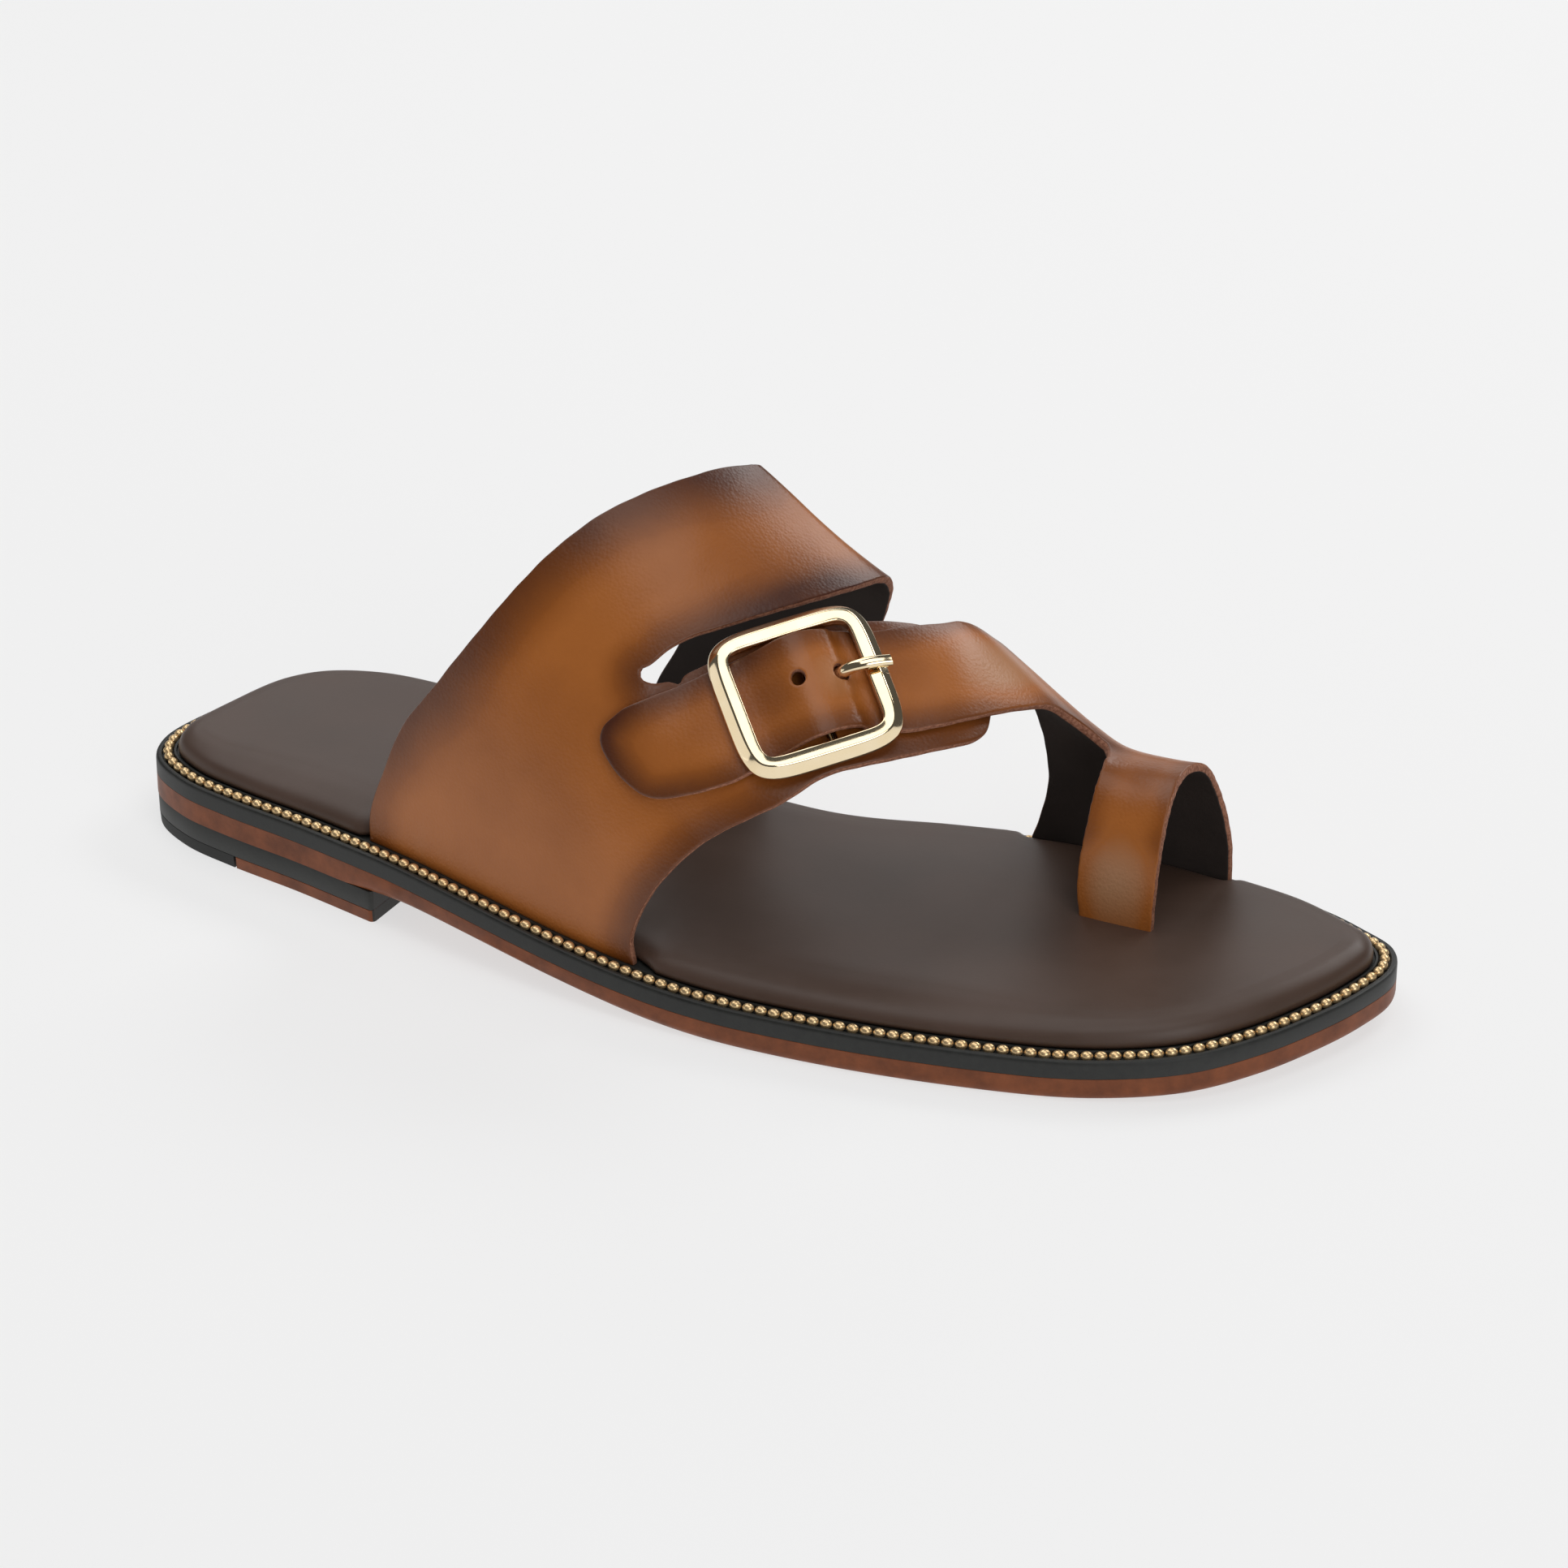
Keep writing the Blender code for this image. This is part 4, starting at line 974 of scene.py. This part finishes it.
band = {
    "rear": (  # along, girth
        (69.3, 0.0), (69.6, 0.04), (73.0, 0.10), (78.0, 0.18), (87.8, 0.28), (97.8, 0.402),
        (103.5, 0.485), (108.5, 0.563), (115.5, 0.674), (125.4, 0.823), (130.7, 0.921), (135.0, 1.02),
        (133.5, 1.2), (127.0, 1.5), (118.5, 1.74), (112.4, 1.84), (107.6, 1.9), (103.0, 2.0),
    ),
    "front": (
        (135.0, 2.0), (137.0, 1.93), (142.0, 1.84), (150.0, 1.73), (157.5, 1.62), (162.2, 1.53),
        (165.0, 1.4), (166.6, 1.27), (167.0, 1.15), (166.8, 1.04), (165.0, 0.951), (158.4, 0.807),
        (148.6, 0.664), (140.7, 0.563), (136.2, 0.492), (134.9, 0.476), (135.3, 0.464), (137.2, 0.468),
        (142.7, 0.521), (150.8, 0.618), (161.5, 0.763), (172.5, 0.88), (180.8, 0.955), (187.0, 0.972),
        (194.0, 0.958), (198.5, 0.915), (200.8, 0.86), (201.5, 0.825), (200.8, 0.79), (198.8, 0.745),
        (189.8, 0.613), (179.2, 0.505), (171.5, 0.4), (158.1, 0.282), (150.3, 0.187), (145.3, 0.106),
        (142.9, 0.04), (143.7, 0.0),
    ),
    "marks": {  # burnishing and painted sheen: edge, width in mm and strength; then spots as along, girth, radius, amount, pale where negative
        "edges": {"rear": (17.0, 0.8), "front": (11.0, 0.75)},
        "spots": (
            (131.0, 0.93, 12.0, 0.25), (158.0, 0.84, 15.0, 0.45), (100.0, 0.2, 24.0, 0.15),
            # (76.0, 0.06) is a painted highlight, pale low on the rear of the band
            (122.0, 0.2, 22.0, 0.16), (142.0, 0.78, 14.0, 0.12), (76.0, 0.06, 16.0, -0.35),
        ),
    },
}


def flatLift(base, girth):
    return np.zeros(len(base))


def makeBand():
    edges = {
        "rear": patternCurve(band["rear"]),
        "medialBase": patternCurve((band["rear"][-1], band["front"][0])),
        "front": patternCurve(band["front"]),
        "lateralBase": patternCurve((band["front"][-1], band["rear"][0])),
    }
    piece = cutSheet("instep_band_calf", edges, [], flatLift, band["marks"])
    joinFrame(piece, "instep_band")


strap = {
    "edge": (  # along, girth
        (218.0, 1.125), (214.5, 1.14), (211.3, 1.12), (208.2, 1.065), (204.5, 0.97), (199.8, 0.85),
        (194.8, 0.745), (190.2, 0.682), (186.3, 0.652), (181.6, 0.621), (175.9, 0.561), (170.1, 0.499),
        (163.0, 0.41), (156.8, 0.365), (150.2, 0.328), (143.8, 0.3), (138.2, 0.3), (133.8, 0.315),
        (131.2, 0.335), (131.0, 0.357), (133.5, 0.393), (138.2, 0.445), (148.3, 0.551), (155.0, 0.633),
        (165.6, 0.767), (174.0, 0.845), (179.8, 0.915), (183.2, 0.965), (185.5, 1.02), (190.5, 1.2),
        (195.5, 1.5), (198.2, 1.72), (198.5, 1.85), (196.5, 1.95), (194.3, 2.0),
    ),
    "loopFront": (
        (243.0, 2.0), (242.8, 1.85), (241.7, 1.7), (240.2, 1.5), (239.2, 1.2), (238.3, 1.04),
        (238.5, 0.91), (239.1, 0.69), (239.6, 0.46), (239.7, 0.2), (239.5, 0.0),
    ),
    "loopRear": (
        (222.0, 0.0), (221.3, 0.1), (221.3, 0.24), (221.8, 0.45), (221.6, 0.7), (221.1, 0.92),
        (220.2, 1.04), (218.0, 1.125),
    ),
    "lift": (2.5, 0.95, 1.2, 206.0, 219.0),  # over the arm, then fading past the ridge and past the arm
    "hump": (  # along the buckle, extra lift over its centre bar
        (-12.5, 0.0), (-9.5, 0.3), (-5.0, 1.7), (-1.0, 3.3), (2.0, 3.45), (5.0, 2.85), (7.4, 2.1),
        (8.2, 1.75), (8.6, 1.35), (9.3, 0.5), (10.6, 0.0),
    ),
    "holes": ((172.9, 0.707, 1.75), (166.3, 0.64, 1.45)),  # along, girth, radius
    "holeSides": 28,
    "marks": {
        "edges": {"edge": (8.0, 0.75), "loopFront": (5.0, 0.35), "loopRear": (6.0, 0.38)},
        "spots": (
            (133.0, 0.34, 11.0, 0.3), (230.0, 0.95, 10.0, 0.42), (231.0, 0.74, 8.0, 0.12),
            # (230.0, 0.17), (172.5, 0.69) and (197.0, 0.98) are painted sheen, pale on the loop's low part,
            # the hump's crest and the strap's bend
            (230.0, 0.17, 10.0, -0.85), (163.0, 0.59, 8.0, 0.38), (172.5, 0.69, 6.0, -0.5),
            # (163.0, 0.59) and (181.0, 0.8) darken the strap beside the buckle's bars
            (181.0, 0.8, 8.0, 0.28), (155.0, 0.5, 12.0, 0.2), (197.0, 0.98, 11.0, -0.7),
            (237.0, 0.44, 4.0, 0.25), (224.0, 0.4, 4.0, 0.2),
        ),
    },
}
humpRows = curveThrough(strap["hump"])


def strapLift(base, girth):
    over, ridgeStart, ridgeEnd, armStart, armEnd = strap["lift"]
    middle, forward, _, _ = axes
    run = (base - middle) @ forward
    pastRidge = ease((girth - ridgeStart) / (ridgeEnd - ridgeStart))
    pastArm = ease((base[:, 0] - armStart) / (armEnd - armStart))
    return over * (1.0 - pastRidge) * (1.0 - pastArm) + np.interp(run, humpRows[:, 0], humpRows[:, 1])


def punchedHole(along, girth, radius):
    turn = 2.0 * np.pi * np.arange(strap["holeSides"]) / strap["holeSides"]
    return radius * np.column_stack([np.cos(turn), np.sin(turn)]) + (along, girth * lastShape["girth"])


def makeStrap():
    edges = {
        "edge": patternCurve(strap["edge"]),
        "medialBase": patternCurve((strap["edge"][-1], strap["loopFront"][0])),
        "loopFront": patternCurve(strap["loopFront"]),
        "lateralBase": patternCurve((strap["loopFront"][-1], strap["loopRear"][0])),
        "loopRear": patternCurve(strap["loopRear"]),
    }
    holes = [punchedHole(*hole) for hole in strap["holes"]]
    piece = cutSheet("toe_strap_calf", edges, holes, strapLift, strap["marks"])
    joinFrame(piece, "toe_strap")


makeBand()
makeStrap()
print("band and strap cut")


# buckle

def roundedSection():  # closed outline with an arc in place of each corner
    rows = np.array(buckle["section"])
    out = []
    for i in range(len(rows)):
        corner, size = rows[i, :2], rows[i, 2]
        back = rows[i - 1, :2] - corner
        ahead = rows[(i + 1) % len(rows), :2] - corner
        start = corner + back / np.linalg.norm(back) * size
        end = corner + ahead / np.linalg.norm(ahead) * size
        for t in np.linspace(0.0, 1.0, buckle["roundSteps"] + 1):
            out.append((1 - t) ** 2 * start + 2 * t * (1 - t) * corner + t * t * end)
    return np.array(out)


def makeBuckleFrame():
    section = roundedSection()
    outward, height = section[:, 0], section[:, 1] + buckle["lift"]
    reach = max(row[0] for row in buckle["section"])
    halfAlong = 0.5 * buckle["length"] - reach
    halfAcross = 0.5 * buckle["width"] - reach
    seat, half, slope, depth = buckle["notch"]
    wide = (outward - outward.min()) / np.ptp(outward)
    lowest, run = buckle["notchRise"]
    notched = ease((section[:, 1] - lowest) / run)
    # window and outer edge, each as reach, squareness and where its corner lies
    limits = [(end, power, 2.0 ** (-1.0 / power))
              for end, power in zip((outward.min(), outward.max()), buckle["round"])]
    edgeReach, _, edgeCorner = limits[1]
    rings = []
    for quarter in range(4):  # front, medial, rear and lateral side, each from corner to corner
        turn = 0.5 * np.pi * quarter
        way = np.array([np.cos(turn), np.sin(turn)])
        ahead = np.array([-way[1], way[0]])
        deep, long = (halfAcross, halfAlong) if quarter % 2 else (halfAlong, halfAcross)
        shares = np.sin(0.5 * np.pi * np.linspace(-1.0, 1.0, buckle["sideSteps"], endpoint=False))
        if quarter == 0:
            marks = seat + np.array([-half - slope, -half, half, half + slope])
            shares = np.sort(np.concatenate([shares, marks / ((long + edgeReach) * edgeCorner)]))
        for share in shares:
            ends = []
            for extra, power, corner in limits:
                step = share * corner
                bulge = (1.0 - abs(step) ** power) ** (1.0 / power)
                ends.append((long + extra) * step * ahead + (deep + extra) * bulge * way)
            flat = ends[0] + np.outer(wide, ends[1] - ends[0])
            spot = share * (long + edgeReach) * edgeCorner
            cut = depth * (quarter == 0) * (abs(spot - seat) < half + 0.5 * slope)
            rings.append(onBuckle(flat[:, 0], flat[:, 1], height - cut * notched))
    faces = stackFaces(len(outward), len(rings))
    count = len(outward)
    last = (len(rings) - 1) * count
    faces += [(last + i, last + (i + 1) % count, (i + 1) % count, i) for i in range(count)]
    ring = addPiece("buckle_frame_gold", np.vstack(rings), faces, [goldPlate], sharp=buckle["sharp"])
    along, radius, rise = buckle["bar"]
    turn = np.linspace(0.0, 2.0 * np.pi, buckle["barSides"], endpoint=False)
    across = np.full(len(turn), halfAcross)
    ends = [onBuckle(along + radius * np.cos(turn), side * across, rise + radius * np.sin(turn))
            for side in (-1, 1)]
    bar = rodPiece("centre_bar", ends, [goldPlate])
    join = ring.modifiers.new("centre_bar", "BOOLEAN")
    join.operation = "UNION"
    join.solver = "EXACT"
    join.object = bar
    made = bpy.data.meshes.new_from_object(ring.evaluated_get(bpy.context.evaluated_depsgraph_get()))
    ring.modifiers.clear()
    ring.data = made
    made.name = "buckle_frame_gold"
    bpy.data.objects.remove(bar)
    joinFrame(ring, "buckle_frame")


prong = {
    "path": (  # along the buckle, across it, up
        (4.2, 1.7, 3.1), (6.0, 1.6, 3.3), (7.4, 1.5, 4.1), (8.7, 1.4, 5.6), (10.3, 1.2, 7.1),
        (12.4, 0.8, 8.1), (16.0, 0.3, 8.35), (19.2, -0.2, 7.9),
    ),
    "step": 0.4,
    "section": ((-1.15, -0.8), (1.15, -0.8), (1.4, 0.1), (0.8, 0.95), (-0.8, 0.95), (-1.4, 0.1)),
    "sectionDetail": 4,
    "sharp": 50.0,
}


def makeProng():
    path = evenPoints(curveThrough(prong["path"]), prong["step"])
    way = np.gradient(path, axis=0)
    way /= np.linalg.norm(way, axis=1)[:, None]
    sides, lifts = curveThrough(prong["section"], True, prong["sectionDetail"]).T
    rings = []
    for (along, across, up), (run, _, rise) in zip(path, way):
        rings.append(onBuckle(along - rise * lifts, across + sides, up + run * lifts))
    piece = rodPiece("buckle_prong_gold", rings, [goldPlate], prong["sharp"])
    joinFrame(piece, "buckle_prong")


makeBuckleFrame()
makeProng()
print("buckle made")


# studio

studio = {
    "floor": "#969696",
    "floorGlow": ("#ffffff", 0.64),  # paper lit from below, so that shadows stay light
    "floorFinish": (0.9, 0.1),  # roughness, specular
    "floorSize": 9.0,
    "backdrop": "#f0f0f0",
    "gloom": 0.1,  # the dark room that glossy faces see between the panels
    "panels": (  # name, azimuth, elevation, distance in metres, size in metres, radiance
        ("overhead", 40.0, 72.0, 1.5, (1.0, 0.9), 1.6),
        ("left_top", -105.0, 62.0, 1.6, (1.2, 1.0), 1.8),
        ("back", 163.0, 39.0, 1.7, (1.0, 0.5), 5.0),
        ("back_left", -150.0, 25.0, 1.8, (1.3, 0.5), 1.6),
        ("front_right", 54.0, 26.0, 1.7, (0.9, 0.9), 2.6),
        ("left", -60.0, 9.0, 1.7, (1.1, 0.5), 0.8),
    ),
    "camera": (0.5070, -0.9308, 0.5834),
    "look": (-0.0002, -0.00055, 0.020),
    "lens": 123.2,
    "sensor": 36.0,
    "shift": (0.0254, 0.0352),
}


def makeFloor():
    half = 0.5 * studio["floorSize"]
    mesh = bpy.data.meshes.new("studio_floor")
    corners = [(-half, -half, 0), (half, -half, 0), (half, half, 0), (-half, half, 0)]
    mesh.from_pydata(corners, [], [(0, 1, 2, 3)])
    glow, strength = studio["floorGlow"]
    roughness, specular = studio["floorFinish"]
    material, _, _ = startMaterial(  # matt white paper, without a sheen
        "matt_paper", Base_Color=linear(studio["floor"]), Emission_Color=linear(glow),
        Emission_Strength=strength, Roughness=roughness, Specular_IOR_Level=specular)
    mesh.materials.append(material)
    floor = bpy.data.objects.new("studio_floor", mesh)
    bpy.context.scene.collection.objects.link(floor)


def makeRoom():  # a dark room round the panels, with a pale backdrop behind the floor
    world = bpy.data.worlds.new("studio")
    world.use_nodes = True
    tree = world.node_tree
    back = tree.nodes["Background"]
    back.inputs["Color"].default_value = linear(studio["backdrop"])
    seen = addNode(tree, "ShaderNodeLightPath").outputs["Is Camera Ray"]
    strength = addNode(tree, "ShaderNodeMapRange", {
        "Value": seen, "To Min": studio["gloom"], "To Max": 1.0})
    tree.links.new(strength.outputs["Result"], back.inputs["Strength"])
    bpy.context.scene.world = world


def makePanels():
    for name, azimuth, elevation, distance, size, radiance in studio["panels"]:
        turn, rise = math.radians(azimuth), math.radians(elevation)
        way = Vector((math.sin(turn) * math.cos(rise), -math.cos(turn) * math.cos(rise), math.sin(rise)))
        light = bpy.data.lights.new(name, "AREA")
        light.shape = "RECTANGLE"
        light.size, light.size_y = size
        light.energy = radiance * math.pi * size[0] * size[1]
        lamp = bpy.data.objects.new(name, light)
        lamp.location = way * distance
        lamp.rotation_euler = way.to_track_quat("Z", "Y").to_euler()
        bpy.context.scene.collection.objects.link(lamp)


def makeCamera():
    lens = bpy.data.cameras.new("photo_camera")
    lens.lens = studio["lens"]
    lens.sensor_width = studio["sensor"]
    lens.shift_x, lens.shift_y = studio["shift"]
    camera = bpy.data.objects.new("photo_camera", lens)
    camera.location = studio["camera"]
    aim = Vector(studio["look"]) - Vector(studio["camera"])
    camera.rotation_euler = aim.to_track_quat("-Z", "Y").to_euler()
    bpy.context.scene.collection.objects.link(camera)
    bpy.context.scene.camera = camera
    bpy.context.scene.view_settings.view_transform = "Standard"


makeFloor()
makeRoom()
makePanels()
makeCamera()
print("studio set")
